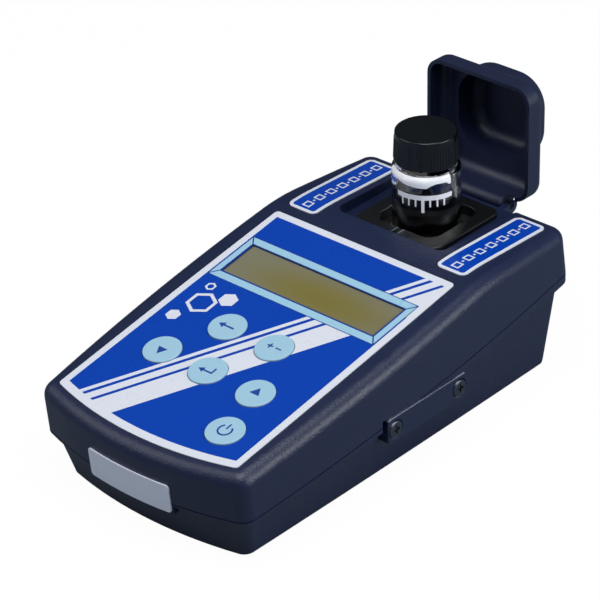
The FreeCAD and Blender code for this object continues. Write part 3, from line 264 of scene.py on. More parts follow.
@dataclass(frozen=True)
class PrintedFilm(Finish):
    """Reverse-printed polyester film of the keypad: satin, with flat inks and a light border.

    Attributes:
        border: Ink of the border and of the motif.
        frame_ink: Ink of the display's frame.
        line_ink: Ink of the fine lines round and across that frame.
        side_edge: Where the border starts at the sides, from the middle line, in millimetres.
        rear_edge: Where it starts at the rear, up the panel.
        nose_up: Centre of the front edge's arc, up the panel.
        nose_radius: Radius of that arc, where the border starts.
        display_up: Middle of the display, up the panel.
        frame_half: Half the display frame's width and height.
        window_half: Half the width and height inside that frame.
        line_out: Width of the line along the frame's outer edge.
        line_in: Width of the line along its inner edge.
        mitre_slope: Weights of the two distances whose difference is 0 along a mitre.
        mitre_half: Half the mitre line's width.
        slant: How far the bars lean from the panel's length, in radians.
        bars: Each bar's distance from the slanted line through the origin, and half its width.
        hexagons: Each hexagon's place across and up, and its inner and outer half width.
    """

    border: str = "#cfd0d8"
    frame_ink: str = "#95bbcf"
    line_ink: str = "#0a2f7d"
    side_edge: float = 37.4
    rear_edge: float = 105.9
    nose_up: float = 135.7
    nose_radius: float = 138.4
    display_up: float = 81.4
    frame_half: tuple[float, float] = (37.1, 11.9)
    window_half: tuple[float, float] = (34.2, 8.3)
    line_out: float = 0.35
    line_in: float = 0.3
    mitre_slope: tuple[float, float] = (0.779, 0.627)
    mitre_half: float = 0.24
    slant: float = math.radians(60)
    bars: tuple[tuple[float, float], ...] = ((15.6, 4.6), (23.0, 1.5), (26.7, 0.8))
    hexagons: tuple[tuple[float, float, float, float], ...] = (
        (-27.6, 56.4, 3.7, 4.9), (-20.6, 62.2, -1.0, 3.1), (-31.6, 46.6, -1.0, 2.4), (-30.9, 64.6, 1.1, 1.8))

    def tint(self, tree: bpy.types.NodeTree, body: bpy.types.Node, cloud: bpy.types.NodeSocket,
             place: bpy.types.NodeSocket) -> None:
        """Print the border, the display's mitred frame and a plain motif over the blue.

        Args:
            tree: The material's node tree.
            body: The shader.
            cloud: A soft noise; not used.
            place: Object coordinates, in metres.
        """
        flat = add_node(tree, "ShaderNodeMapping", {
            "Vector": place, "Location": (0, PANEL.front * MM, PANEL.height * MM),
            "Rotation": (PANEL.tilt, 0, 0), "Scale": (MM, MM, MM)}, vector_type="TEXTURE")
        split = add_node(tree, "ShaderNodeSeparateXYZ", {0: flat.outputs[0]})
        values = {"x": split.outputs[0], "u": split.outputs[1]}
        work_out(tree, values, [
            ("ax", "ABSOLUTE", "x"),
            # Border: straight sides and rear, and a front that follows the film's curved edge.
            ("side", "GREATER_THAN", "ax", self.side_edge), ("rear", "GREATER_THAN", "u", self.rear_edge),
            ("nose_u", "SUBTRACT", "u", self.nose_up), ("nose_u2", "MULTIPLY", "nose_u", "nose_u"),
            ("x2", "MULTIPLY", "x", "x"), ("nose_r2", "ADD", "x2", "nose_u2"),
            ("nose", "GREATER_THAN", "nose_r2", self.nose_radius ** 2),
            ("edge_a", "MAXIMUM", "side", "rear"), ("border", "MAXIMUM", "edge_a", "nose"),
            # Display frame: an outer and an inner rectangle, with mitred corners.
            ("uc", "SUBTRACT", "u", self.display_up), ("au", "ABSOLUTE", "uc"),
            ("fx", "SUBTRACT", "ax", self.frame_half[0]), ("fu", "SUBTRACT", "au", self.frame_half[1]),
            ("f", "MAXIMUM", "fx", "fu"), ("frame", "LESS_THAN", "f", 0.0),
            ("ix", "SUBTRACT", "ax", self.window_half[0]), ("iu", "SUBTRACT", "au", self.window_half[1]),
            ("i", "MAXIMUM", "ix", "iu"),
            ("rim_out_a", "GREATER_THAN", "f", -self.line_out), ("rim_out", "MULTIPLY", "rim_out_a", "frame"),
            ("rim_in", "LESS_THAN", "i", self.line_in),
            ("mx", "MULTIPLY", "ix", self.mitre_slope[0]), ("mu", "MULTIPLY", "iu", self.mitre_slope[1]),
            ("m", "SUBTRACT", "mx", "mu"), ("am", "ABSOLUTE", "m"),
            ("mitre_a", "LESS_THAN", "am", self.mitre_half), ("mitre", "MULTIPLY", "mitre_a", "frame"),
            ("lines_a", "MAXIMUM", "rim_out", "rim_in"), ("lines_b", "MAXIMUM", "lines_a", "mitre"),
            ("lines", "MULTIPLY", "lines_b", "frame"),
        ])
        white = self.motif(tree, values)
        colour = lay_ink(tree, linear(self.colour), self.border, white)
        colour = lay_ink(tree, colour, self.border, values["border"])
        colour = lay_ink(tree, colour, self.frame_ink, values["frame"])
        colour = lay_ink(tree, colour, self.line_ink, values["lines"])
        tree.links.new(colour, body.inputs["Base Color"])

    def motif(self, tree: bpy.types.NodeTree, values: dict[str, Any]) -> bpy.types.NodeSocket:
        """Draw three straight slanted bars and a cluster of hexagons.

        Args:
            tree: The material's node tree.
            values: The panel's coordinates, x across and u up it, in millimetres.

        Returns:
            Mask of the white ink.
        """
        work_out(tree, values, [
            ("wx", "MULTIPLY", "x", -math.sin(self.slant)), ("wu", "MULTIPLY", "u", math.cos(self.slant)),
            ("w", "ADD", "wx", "wu")])
        cosine, sine = 0.5, 0.866  # of the 60 degrees between a hexagon's sides
        masks = []
        for index, (middle, half) in enumerate(self.bars):
            work_out(tree, values, [
                (f"b{index}a", "SUBTRACT", "w", middle), (f"b{index}b", "ABSOLUTE", f"b{index}a"),
                (f"b{index}", "LESS_THAN", f"b{index}b", half)])
            masks.append(f"b{index}")
        for index, (across, up, inner, outer) in enumerate(self.hexagons):
            k = f"h{index}"
            work_out(tree, values, [
                (f"{k}x", "SUBTRACT", "x", across), (f"{k}u", "SUBTRACT", "u", up),
                (f"{k}ax", "ABSOLUTE", f"{k}x"), (f"{k}au", "ABSOLUTE", f"{k}u"),
                (f"{k}p", "MULTIPLY", f"{k}ax", cosine), (f"{k}q", "MULTIPLY", f"{k}au", sine),
                (f"{k}r", "ADD", f"{k}p", f"{k}q"), (f"{k}d", "MAXIMUM", f"{k}r", f"{k}ax"),
                (f"{k}o", "LESS_THAN", f"{k}d", outer), (f"{k}i", "GREATER_THAN", f"{k}d", inner),
                (k, "MULTIPLY", f"{k}o", f"{k}i")])
            masks.append(k)
        for index, name in enumerate(masks[1:]):
            work_out(tree, values, [(f"w{index}", "MAXIMUM", f"w{index - 1}" if index else masks[0], name)])
        return values[f"w{len(masks) - 2}"]


@dataclass(frozen=True)
class PrintedStrip(Finish):
    """Printed film strip beside the chamber: blue with a light border and a row of small open squares.

    Attributes:
        ink: Ink of the border and the squares.
        centre: The strip's middle, across on both sides and along the part, in millimetres.
        half: Half its width and length.
        border: Width of the border.
        corner: Radius of the border's inner corners.
        pitch: Distance from one square to the next.
        hole: Half a square's open width.
        square: Half its full width.
        dot: Half the width of the dot between two squares.
        margin: How far the row stays from the strip's ends.
    """

    ink: str = "#cfd0d8"
    centre: tuple[float, float] = (33.4, 46.1)
    half: tuple[float, float] = (6.3, 22.2)
    border: float = 1.3
    corner: float = 1.0
    pitch: float = 6.0
    hole: float = 1.05
    square: float = 1.65
    dot: float = 0.4
    margin: float = 2.1

    def tint(self, tree: bpy.types.NodeTree, body: bpy.types.Node, cloud: bpy.types.NodeSocket,
             place: bpy.types.NodeSocket) -> None:
        """Print the border and the squares.

        Args:
            tree: The material's node tree.
            body: The shader.
            cloud: A soft noise; not used.
            place: Object coordinates, in metres.
        """
        flat = add_node(tree, "ShaderNodeMapping", {
            "Vector": place, "Scale": (MM, MM, MM)}, vector_type="TEXTURE")
        inset = self.border + self.corner
        half_pitch = self.pitch / 2
        split = add_node(tree, "ShaderNodeSeparateXYZ", {0: flat.outputs[0]})
        values = {"x": split.outputs[0], "y": split.outputs[1]}
        work_out(tree, values, [
            ("ax", "ABSOLUTE", "x"), ("dx", "SUBTRACT", "ax", self.centre[0]), ("adx", "ABSOLUTE", "dx"),
            ("dy", "SUBTRACT", "y", self.centre[1]), ("ady", "ABSOLUTE", "dy"),
            # Border with rounded inner corners: distance is taken from each corner's centre.
            ("qx", "SUBTRACT", "adx", self.half[0] - inset), ("qy", "SUBTRACT", "ady", self.half[1] - inset),
            ("px", "MAXIMUM", "qx", 0.0), ("py", "MAXIMUM", "qy", 0.0), ("px2", "MULTIPLY", "px", "px"),
            ("py2", "MULTIPLY", "py", "py"), ("pp", "ADD", "px2", "py2"),
            ("border", "GREATER_THAN", "pp", self.corner ** 2),
            # Open squares at even steps, with a dot between each two.
            ("step", "PINGPONG", "dy", half_pitch), ("square", "MAXIMUM", "adx", "step"),
            ("open", "GREATER_THAN", "square", self.hole), ("shut", "LESS_THAN", "square", self.square),
            ("ring", "MULTIPLY", "open", "shut"),
            ("left", "SUBTRACT", half_pitch, "step"), ("spot_d", "MAXIMUM", "adx", "left"),
            ("spot", "LESS_THAN", "spot_d", self.dot),
            ("span", "LESS_THAN", "ady", self.half[1] - self.margin),
            ("marks", "MAXIMUM", "ring", "spot"), ("tick", "MULTIPLY", "marks", "span"),
            ("white", "MAXIMUM", "border", "tick"),
        ])
        colour = lay_ink(tree, linear(self.colour), self.ink, values["white"])
        tree.links.new(colour, body.inputs["Base Color"])


@dataclass(frozen=True)
class DisplayGlass(Finish):
    """Reflective liquid crystal display: olive, greyer near its edges, with a faint cell grid.

    Attributes:
        edge: Colour of the edges and of the gaps between the cells.
        warm_at: Middle of the warm patch, across and up the panel, in millimetres.
        warm_half: Half its width and height.
        fade: Where the fade to the edge starts and ends, as shares of those halves.
        grid_at: Centre of the grid, across and up the panel.
        cell: Width and height of a character's cell.
        gap: Half a gap's width and height, as shares of a cell.
        grid_ink: How strongly the gaps show.
    """

    edge: str = "#7f7b66"
    warm_at: tuple[float, float] = (6.0, 79.5)
    warm_half: tuple[float, float] = (40.0, 12.0)
    fade: tuple[float, float] = (0.15, 1.15)
    grid_at: tuple[float, float] = (0.0, 81.5)
    cell: tuple[float, float] = (3.9, 6.2)
    gap: tuple[float, float] = (0.07, 0.05)
    grid_ink: float = 0.05

    def tint(self, tree: bpy.types.NodeTree, body: bpy.types.Node, cloud: bpy.types.NodeSocket,
             place: bpy.types.NodeSocket) -> None:
        """Shade the display from its warm middle to its grey edges.

        Args:
            tree: The material's node tree.
            body: The shader.
            cloud: A soft noise; not used.
            place: Object coordinates, in metres.
        """
        flat = add_node(tree, "ShaderNodeMapping", {
            "Vector": place, "Location": PANEL.at(*self.warm_at, 0), "Rotation": (PANEL.tilt, 0, 0),
            "Scale": (self.warm_half[0] * MM, self.warm_half[1] * MM, self.warm_half[0] * MM)},
            vector_type="TEXTURE")
        length = add_node(tree, "ShaderNodeVectorMath", {0: flat.outputs[0]}, operation="LENGTH")
        fade = add_node(tree, "ShaderNodeMapRange", {
            "Value": length.outputs["Value"], "From Min": self.fade[0], "From Max": self.fade[1]},
            interpolation_type="SMOOTHSTEP")
        colour = lay_ink(tree, linear(self.colour), self.edge, fade.outputs[0])
        cells = add_node(tree, "ShaderNodeMapping", {
            "Vector": place, "Location": PANEL.at(*self.grid_at, 0), "Rotation": (PANEL.tilt, 0, 0),
            "Scale": (self.cell[0] * MM, self.cell[1] * MM, MM)}, vector_type="TEXTURE")
        split = add_node(tree, "ShaderNodeSeparateXYZ", {0: cells.outputs[0]})
        values = work_out(tree, {"x": split.outputs[0], "u": split.outputs[1]}, [
            ("cx", "PINGPONG", "x", 0.5), ("cu", "PINGPONG", "u", 0.5),
            ("gx", "LESS_THAN", "cx", self.gap[0]), ("gu", "LESS_THAN", "cu", self.gap[1]),
            ("g", "MAXIMUM", "gx", "gu"),
            ("grid", "MULTIPLY", "g", self.grid_ink)])
        colour = lay_ink(tree, colour, self.edge, values["grid"])
        tree.links.new(colour, body.inputs["Base Color"])


@dataclass(frozen=True)
class PaintedTopHighlightPlate(Finish):
    """Moulded plate whose upward faces are painted lighter: a painted highlight along its top edge.

    Attributes:
        top_highlight: Colour of the painted highlight.
        highlight_from: Upward share of the face's direction where the painted highlight starts.
        highlight_full: Upward share where the painted highlight is whole.
    """

    top_highlight: str = "#8d93a8"
    highlight_from: float = 0.55
    highlight_full: float = 0.8

    def tint(self, tree: bpy.types.NodeTree, body: bpy.types.Node, cloud: bpy.types.NodeSocket,
             place: bpy.types.NodeSocket) -> None:
        """Lighten the faces that look up: a painted highlight.

        Args:
            tree: The material's node tree.
            body: The shader.
            cloud: A soft noise; not used.
            place: Object coordinates, in metres; not used.
        """
        facing = add_node(tree, "ShaderNodeTexCoord").outputs["Normal"]
        rise = add_node(tree, "ShaderNodeSeparateXYZ", {0: facing}).outputs[2]
        upward = add_node(tree, "ShaderNodeMapRange", {
            "Value": rise, "From Min": self.highlight_from, "From Max": self.highlight_full}).outputs[0]
        tree.links.new(lay_ink(tree, linear(self.colour), self.top_highlight, upward), body.inputs["Base Color"])


class Finishes:
    """Every finish on the instrument, made once and shared."""

    def __init__(self) -> None:
        """Make the materials."""
        # ABS, injection moulded in a spark-eroded tool: an even matt texture that scatters a soft sheen.
        self.case = Finish("moulded_abs", "#131c3a", 0.42, grain=0.8, relief=0.13, mottle=0.03).material()
        # The same ABS on the side plate, with a painted highlight along its upward edge.
        self.plate = PaintedTopHighlightPlate("abs_painted_top_highlight", "#141d3a", 0.36, grain=0.85, relief=0.05,
                                 mottle=0.03).material()
        # The same ABS on the lid, from a smoother tool.
        self.lid = Finish("lid_abs", "#131b36", 0.44, grain=0.7, relief=0.07, mottle=0.03).material()
        # Polyester film, printed on its back: flat colours under a satin skin.
        self.film = PrintedFilm("keypad_film", "#003a9f", 0.28, grain=0.25, relief=0.006).material()
        self.strip = PrintedStrip("strip_film", "#003a9f", 0.28, grain=0.25, relief=0.006).material()
        # Silicone keys under a printed skin: a satin pale blue.
        self.key = Finish("key_skin", "#97bbcd", 0.36, grain=0.3, relief=0.006, mottle=0.02).material()
        # Screen-printing ink, flat and dark blue on the keys.
        self.legend = Finish("legend_ink", "#173f8f", 0.4).material()
        # White enamel fired on the glass: smooth and opaque. The same white also paints the reflection on the
        # vial's shoulder.
        self.mark = Finish("vial_enamel_and_painted_reflection", "#f1f2f8", 0.3, mottle=0.02).material()
        # Anodised aluminium, brushed along its length.
        self.badge = Finish("brushed_aluminium", "#eeeffc", 0.36, metallic=0.15, grain=0.5, relief=0.012,
                            stretch=(0.08, 1.0, 1.0)).material()
        # Zinc-plated steel with a dark passivation.
        self.screw = Finish("dark_zinc_steel", "#5d6069", 0.36, metallic=1.0, grain=0.3,
                            relief=0.01).material()
        # Chemically blackened steel: a dark pin that hardly shows in its hinge.
        self.pin = Finish("blackened_steel", "#2a2b30", 0.35, metallic=1.0, grain=0.3,
                          relief=0.006).material()
        # Rolled and drawn steel, bright from the tool: frame, spring, domes and contacts.
        self.steel = Finish("bright_steel", "#b8bbc0", 0.28, metallic=1.0, grain=0.3, relief=0.004).material()
        # Liquid crystal under a matt polariser: olive and unlit.
        self.display = DisplayGlass("liquid_crystal", "#766d3c", 0.5).material()
        # Acrylic window with an olive polariser bonded behind it, so hardly anything under it shows.
        self.window = DisplayGlass("tinted_window", "#7c723c", 0.1, ior=1.49, alpha=0.82,
                                   mottle=0.0).material()
        # Black ABS: the collar is handled often, so it is polished slightly.
        self.black = Finish("black_abs", "#040507", 0.42, grain=0.5, relief=0.012).material()
        # The same ABS, painted light grey as a highlight on the collar's lips.
        self.painted_lip_highlight = Finish("black_abs_painted_highlight", "#565b66", 0.4).material()
        # The same ABS from a rough tool, so that it throws no stray light on the sample.
        self.matt_black = Finish("matt_black_abs", "#070809", 0.6, grain=0.5, relief=0.02).material()
        # Polypropylene cap, moulded smooth.
        self.cap = Finish("polypropylene_cap", "#030407", 0.24, grain=0.6, relief=0.012).material()
        # Foamed polyethylene: soft, matt and off-white.
        self.liner = Finish("foam_liner", "#e0ded4", 0.8, grain=0.3, relief=0.03).material()
        # Drawn borosilicate glass, clear and nearly without a flaw.
        self.glass = Finish("borosilicate_glass", "#ffffff", 0.015, ior=1.47, transmission=1.0,
                            mottle=0.0).material()
        # Water, clear and still.
        self.water = Finish("sample_water", "#ffffff", 0.0, ior=1.33, transmission=1.0, mottle=0.0).material()
        # Moulded rubber, dull and nearly black.
        self.rubber = Finish("foot_rubber", "#1b1b1c", 0.8, grain=0.4, relief=0.03).material()
        # Glass-fibre board under a green solder mask with a soft sheen.
        self.board = Finish("solder_mask", "#0f4a2c", 0.4, grain=0.7, relief=0.01).material()
        # Cast epoxy, milky clear.
        self.lamp = Finish("lamp_epoxy", "#dfe6dc", 0.15, ior=1.53, transmission=0.6).material()
        # Coloured glass, polished on both faces.
        self.filter = Finish("filter_glass", "#2f8a55", 0.05, ior=1.52, transmission=0.8).material()
        # Dark epoxy over the detector, smooth from its mould.
        self.detector = Finish("detector_window", "#22161a", 0.2, grain=0.3, relief=0.005).material()
        # Printed foil sleeve: a dull metal sheen under grey ink.
        self.battery = Finish("battery_sleeve", "#3b3f4b", 0.35, metallic=0.6, grain=0.6,
                              relief=0.01).material()

    def by_node(self) -> dict[str, bpy.types.Material]:
        """Pair each CAD node with its material.

        Returns:
            Node name to material.
        """
        groups: dict[str, Sequence[str]] = {
            "case": ("upper_shell", "lower_shell", "battery_door"),
            "plate": ("side_plate",),
            "lid": ("lid",),
            "film": ("keypad_overlay",),
            "strip": ("strip_label_left", "strip_label_right"),
            "badge": ("front_badge",),
            "screw": ("side_plate_screws", "case_screws"),
            "window": ("display_window",),
            "display": ("display_glass",),
            "pin": ("hinge_pin",),
            "steel": ("display_bezel", "lifter_spring", "snap_domes", "battery_contacts"),
            "board": ("display_board", "keypad_board", "lamp_board", "detector_board", "main_board"),
            "black": ("chamber_collar",),
            "matt_black": ("cell_holder", "vial_lifter"),
            "cap": ("vial_cap",),
            "liner": ("cap_liner",),
            "glass": ("vial_glass",),
            "water": ("sample_liquid",),
            "rubber": ("feet",),
            "lamp": ("light_source",),
            "filter": ("colour_filter",),
            "detector": ("light_detector",),
            "battery": ("battery",),
            "key": tuple(n for n in frame["nodes"] if n.startswith("key_")),
        }
        return {node: getattr(self, name) for name, nodes in groups.items() for node in nodes}


def finish_mesh(name: str, shape: bmesh.types.BMesh, material: bpy.types.Material, body: str,
                smooth: bool = True) -> bpy.types.Object:
    """Turn a built shape into a piece that rides on its body.

    Args:
        name: The piece's name.
        shape: Its mesh, placed in the object's own frame.
        material: Its finish.
        body: The body that it moves with.
        smooth: Whether gently turned faces shade as one surface.

    Returns:
        The new object.
    """
    bmesh.ops.recalc_face_normals(shape, faces=shape.faces[:])
    mesh = bpy.data.meshes.new(name)
    for face in shape.faces:
        face.smooth = smooth
    for edge in shape.edges:
        if smooth and len(edge.link_faces) == 2 and edge.calc_face_angle(0.0) > SHARP:
            edge.smooth = False
    shape.to_mesh(mesh)
    shape.free()
    mesh.materials.append(material)
    piece = bpy.data.objects.new(name, mesh)
    bpy.context.scene.collection.objects.link(piece)
    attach(piece, body)
    LOG.info("%s: %d faces, rides on %s", name, len(mesh.polygons), body)
    return piece


def smoothed_copy(node: str, crease: float) -> bmesh.types.BMesh:
    """Merge a CAD node's loose triangles in a copy that shades smoothly, with its sharp edges kept.

    Args:
        node: The CAD node's name.
        crease: Edges that turn more than this stay sharp, in radians.

    Returns:
        The copy's mesh.
    """
    shape = bmesh.new()
    shape.from_mesh(frame["nodes"][node].data)
    bmesh.ops.remove_doubles(shape, verts=shape.verts[:], dist=WELD * MM)
    for face in shape.faces:
        face.smooth = True
    for edge in shape.edges:
        edge.smooth = len(edge.link_faces) == 2 and edge.calc_face_angle(0.0) < crease
    return shape


@dataclass
class SmoothedCase:
    """Copies of the moulded nodes whose curved faces shade smoothly, with their sharp edges kept.

    Attributes:
        nodes: The CAD nodes that get such a copy.
        crease: Edges that turn more than this stay sharp, in radians.
        flat_weight: How strongly large flat faces set the shading beside them, of 100.
    """

    nodes: tuple[str, ...] = (
        "upper_shell", "lower_shell", "lid", "chamber_collar", "vial_cap", "vial_glass", "sample_liquid",
        "side_plate_screws", "front_badge", "strip_label_left", "strip_label_right")
    crease: float = math.radians(32)
    flat_weight: int = 80

    def build(self, finishes: dict[str, bpy.types.Material]) -> None:
        """Make each node's copy, and let it stand for the node.

        Args:
            finishes: Node name to material.
        """
        for node in self.nodes:
            shape = smoothed_copy(node, self.crease)
            mesh = bpy.data.meshes.new(f"{node}_skin")
            shape.to_mesh(mesh)
            shape.free()
            mesh.materials.append(finishes[node])
            piece = bpy.data.objects.new(f"{node}_skin", mesh)
            bpy.context.scene.collection.objects.link(piece)
            even = piece.modifiers.new("even_shading", "WEIGHTED_NORMAL")
            even.mode, even.weight, even.keep_sharp = "FACE_AREA", self.flat_weight, True
            body = frame["nodes"][node]["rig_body"]
            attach(piece, body)
            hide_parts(node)
            LOG.info("%s: smoothed copy with %d faces", node, len(mesh.polygons))


@dataclass
class LifterCoil:
    """The coil spring under the lifter, which the shutting lid shortens by pressing the lifter down; its copy
    here keeps its full length.

    Attributes:
        node: The CAD node it stands for.
        joint: The slide that shortens it; not used.
        foot: Height of its fixed lower end, in millimetres; not used.
        travel: How far the lifter goes down; not used.
        least: Smallest share of its length that may be left; not used.
    """

    node: str = "lifter_spring"
    joint: str = "lifter_slide"
    foot: float = 4.0
    travel: float = 19.3
    least: float = 0.05

    def build(self, material: bpy.types.Material) -> None:
        """Copy the coil and smooth its wire.

        Args:
            material: The spring steel.
        """
        shape = smoothed_copy(self.node, SHARP)
        piece = finish_mesh("lifter_coil", shape, material, "housing")
        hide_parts(self.node)
        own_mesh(piece)


@dataclass
class VialCap:
    """Grip ribs round the vial's cap.

    Attributes:
        count: Ribs round the cap.
        low: Height of the ribs' lower end, in millimetres.
        high: Height of their upper end.
        radius_low: The cap's radius at its lower end.
        radius_high: The cap's radius at its top.
        tall: The height over which the radius falls from one to the other.
        rib_low: A rib's radius at its lower end.
        rib_high: Its radius at its upper end.
        sunk: How far a rib's middle lies inside the cap's wall.
    """

    count: int = 64
    low: float = 76.0
    high: float = 83.9
    radius_low: float = 11.25
    radius_high: float = 10.8
    tall: float = 10.8
    rib_low: float = 0.34
    rib_high: float = 0.3
    sunk: float = 0.12

    def build(self, material: bpy.types.Material) -> None:
        """Build the ribs as slim rods let into the cap's wall.

        Args:
            material: The cap's plastic.
        """
        shape = bmesh.new()
        middle = (self.radius_low + self.radius_high) / 2 - self.sunk
        lean = math.atan2(self.radius_low - self.radius_high, self.tall)
        for index in range(self.count):
            turn = 2 * math.pi * index / self.count
            matrix = (Matrix.Translation((0, VIAL_AXIS_Y * MM, (self.low + self.high) / 2 * MM))
                      @ Matrix.Rotation(turn, 4, "Z") @ Matrix.Translation((middle * MM, 0, 0))
                      @ Matrix.Rotation(-lean, 4, "Y"))
            bmesh.ops.create_cone(shape, cap_ends=True, segments=8, radius1=self.rib_low * MM,
                                  radius2=self.rib_high * MM, depth=(self.high - self.low) * MM,
                                  matrix=matrix)
        finish_mesh("cap_grip_ribs", shape, material, "cap")


@dataclass
class VialMarksAndReflection:
    """White enamel on the glass: a fill band, ticks and an index bar below it, and a white patch on the
    shoulder that is a painted reflection.

    Attributes:
        radius: The enamel's radius on the barrel, just off the glass, in millimetres.
        thick: The enamel's thickness.
        band_z: Height of the band's middle.
        band_tall: The band's height.
        band_turn: Azimuth of its middle, from the front towards the right, in radians.
        band_arc: Angle that it spans.
        bar_turn: Azimuth of the index bar.
        bar_wide: Its width.
        bar_low: Height of its lower end.
        ticks: Azimuths of the ticks from the bar's, in degrees.
        tick_wide: A tick's width.
        tick_low: Height of its lower end.
        glint_top: Height of the painted reflection's upper edge.
        glint_rim: Points of its uneven lower edge: azimuth in degrees and height.
        glint_columns: Steps of its grid round the glass.
        glint_rows: Steps of its grid up the glass.
        bend_low: Where the glass starts to bend in to its shoulder.
        bend: Radius of that bend.
        bend_limit: How far up the bend the enamel may go, as a share.
        patch_step: Largest turn of one facet, in degrees.
    """

    radius: float = 12.04
    thick: float = 0.05
    band_z: float = 65.9
    band_tall: float = 1.8
    band_turn: float = math.radians(36)
    band_arc: float = math.radians(100)
    bar_turn: float = math.radians(34)
    bar_wide: float = 1.1
    bar_low: float = 60.2
    ticks: tuple[float, ...] = (-36, -24, -12, 12, 24, 36)
    tick_wide: float = 0.6
    tick_low: float = 62.4
    glint_top: float = 73.0
    glint_rim: tuple[tuple[float, float], ...] = (
        (-44, 71.2), (-30, 70.9), (-14, 70.9), (4, 70.1), (22, 69.7), (40, 69.5), (46, 70.3), (56, 71.1),
        (74, 71.0), (80, 69.9), (84, 70.0), (84, 71.6))
    glint_columns: int = 64
    glint_rows: int = 8
    bend_low: float = 71.0
    bend: float = 2.2
    bend_limit: float = 0.95
    patch_step: float = 4.0

    def on_glass(self, turn: float, z: float) -> Vector:
        """Place a point just off the glass, on its barrel or its rounded shoulder.

        Args:
            turn: Azimuth from the front towards the right, in radians.
            z: Height, in millimetres.

        Returns:
            The point, in metres.
        """
        rise = min(max(z - self.bend_low, 0.0) / self.bend, self.bend_limit)
        radius = self.radius - self.bend * (1 - math.sqrt(1 - rise * rise))
        return Vector((radius * math.sin(turn), VIAL_AXIS_Y - radius * math.cos(turn), z)) * MM

    def spot(self, shape: bmesh.types.BMesh) -> None:
        """Lay the painted reflection over the shoulder, a white patch from the cap down to its uneven edge.

        Args:
            shape: The mesh that takes the painted reflection.
        """
        first, last = self.glint_rim[0][0], self.glint_rim[-1][0]
        made = bmesh.ops.create_grid(shape, x_segments=self.glint_columns, y_segments=self.glint_rows, size=0.5)
        for vert in made["verts"]:
            turn = first + (last - first) * (vert.co.x + 0.5)
            low = self.glint_edge_height(turn)
            z = low + (self.glint_top - low) * (vert.co.y + 0.5)
            vert.co = self.on_glass(math.radians(turn), z)

    def glint_edge_height(self, turn: float) -> float:
        """Read the height of the painted reflection's lower edge at an azimuth.

        Args:
            turn: The azimuth, in degrees.

        Returns:
            The height, in millimetres.
        """
        for (a, low_a), (b, low_b) in zip(self.glint_rim, self.glint_rim[1:]):
            if a <= turn <= b and b > a:
                return low_a + (low_b - low_a) * (turn - a) / (b - a)
        return self.glint_rim[-1][1]

    def patch(self, shape: bmesh.types.BMesh, low: float, high: float, middle: float,
              arc: float) -> None:
        """Spin a short upright edge into a patch that hugs the glass.

        Args:
            shape: The mesh that takes the patch.
            low: Lower edge, in millimetres.
            high: Upper edge.
            middle: Azimuth of its middle, from the front towards the right.
            arc: Angle that it spans.
        """
        start = middle - arc / 2
        foot = Vector((self.radius * math.sin(start), -self.radius * math.cos(start), 0)) * MM
        centre = Vector((0, VIAL_AXIS_Y * MM, 0))
        ends = [shape.verts.new(centre + foot + Vector((0, 0, z * MM))) for z in (low, high)]
        edge = shape.edges.new(ends)
        steps = max(2, round(math.degrees(arc) / self.patch_step))
        bmesh.ops.spin(shape, geom=ends + [edge], cent=centre, axis=(0, 0, 1), angle=arc, steps=steps)

    def build(self, material: bpy.types.Material) -> None:
        """Build the band, the bar, the ticks and the painted reflection as one thin skin.

        Args:
            material: The enamel, which also colours the painted reflection.
        """
        shape = bmesh.new()
        band_low = self.band_z - self.band_tall / 2
        self.patch(shape, band_low, self.band_z + self.band_tall / 2, self.band_turn, self.band_arc)
        self.patch(shape, self.bar_low, band_low, self.bar_turn, self.bar_wide / self.radius)
        for turn in self.ticks:
            self.patch(shape, self.tick_low, band_low, self.bar_turn + math.radians(turn),
                       self.tick_wide / self.radius)
        # The white patch on the shoulder is a painted reflection, not enamel.
        self.spot(shape)
        bmesh.ops.recalc_face_normals(shape, faces=shape.faces[:])
        bmesh.ops.solidify(shape, geom=shape.faces[:], thickness=self.thick * MM)
        finish_mesh("vial_marks_and_painted_reflection", shape, material, "vial")


@dataclass
class CollarHighlightLips:
    """Two fine lips beside the collar's index notch, painted light grey as a highlight along them.

    Attributes:
        top: Height of the collar's top, in millimetres.
        front: Where the lips start, along the part.
        mouth: Where they end, at the vial's opening.
        apart: Distance of each from the middle line.
        wide: A lip's width.
        tall: How far it stands over the collar's top.
        rounding: Rounding of its edges.
    """

    top: float = 53.4
    front: float = 34.8
    mouth: float = 38.2
    apart: float = 1.35
    wide: float = 0.4
    tall: float = 0.12
    rounding: float = 0.05

    def build(self, material: bpy.types.Material) -> None:
        """Build the lips as slim bars with rounded edges.

        Args:
            material: The light grey of the painted highlight.
        """
        shape = bmesh.new()
        for side in (-1, 1):
            middle = Vector((side * self.apart, (self.front + self.mouth) / 2, self.top)) * MM
            size = Matrix.Diagonal((self.wide * MM, (self.mouth - self.front) * MM, self.tall * 2 * MM, 1))
            bmesh.ops.create_cube(shape, size=1.0, matrix=Matrix.Translation(middle) @ size)
        bmesh.ops.bevel(shape, geom=shape.edges[:], offset=self.rounding * MM, segments=2, profile=0.5,
                        material=-1, affect="EDGES")
        finish_mesh("collar_lip_highlights", shape, material, "housing")


class Legend(Enum):
    """Generic signs on the keys."""

    BACK = "back"
    ADJUST = "adjust"
    DOWN = "down"
    ACCEPT = "accept"
    UP = "up"
    POWER = "power"


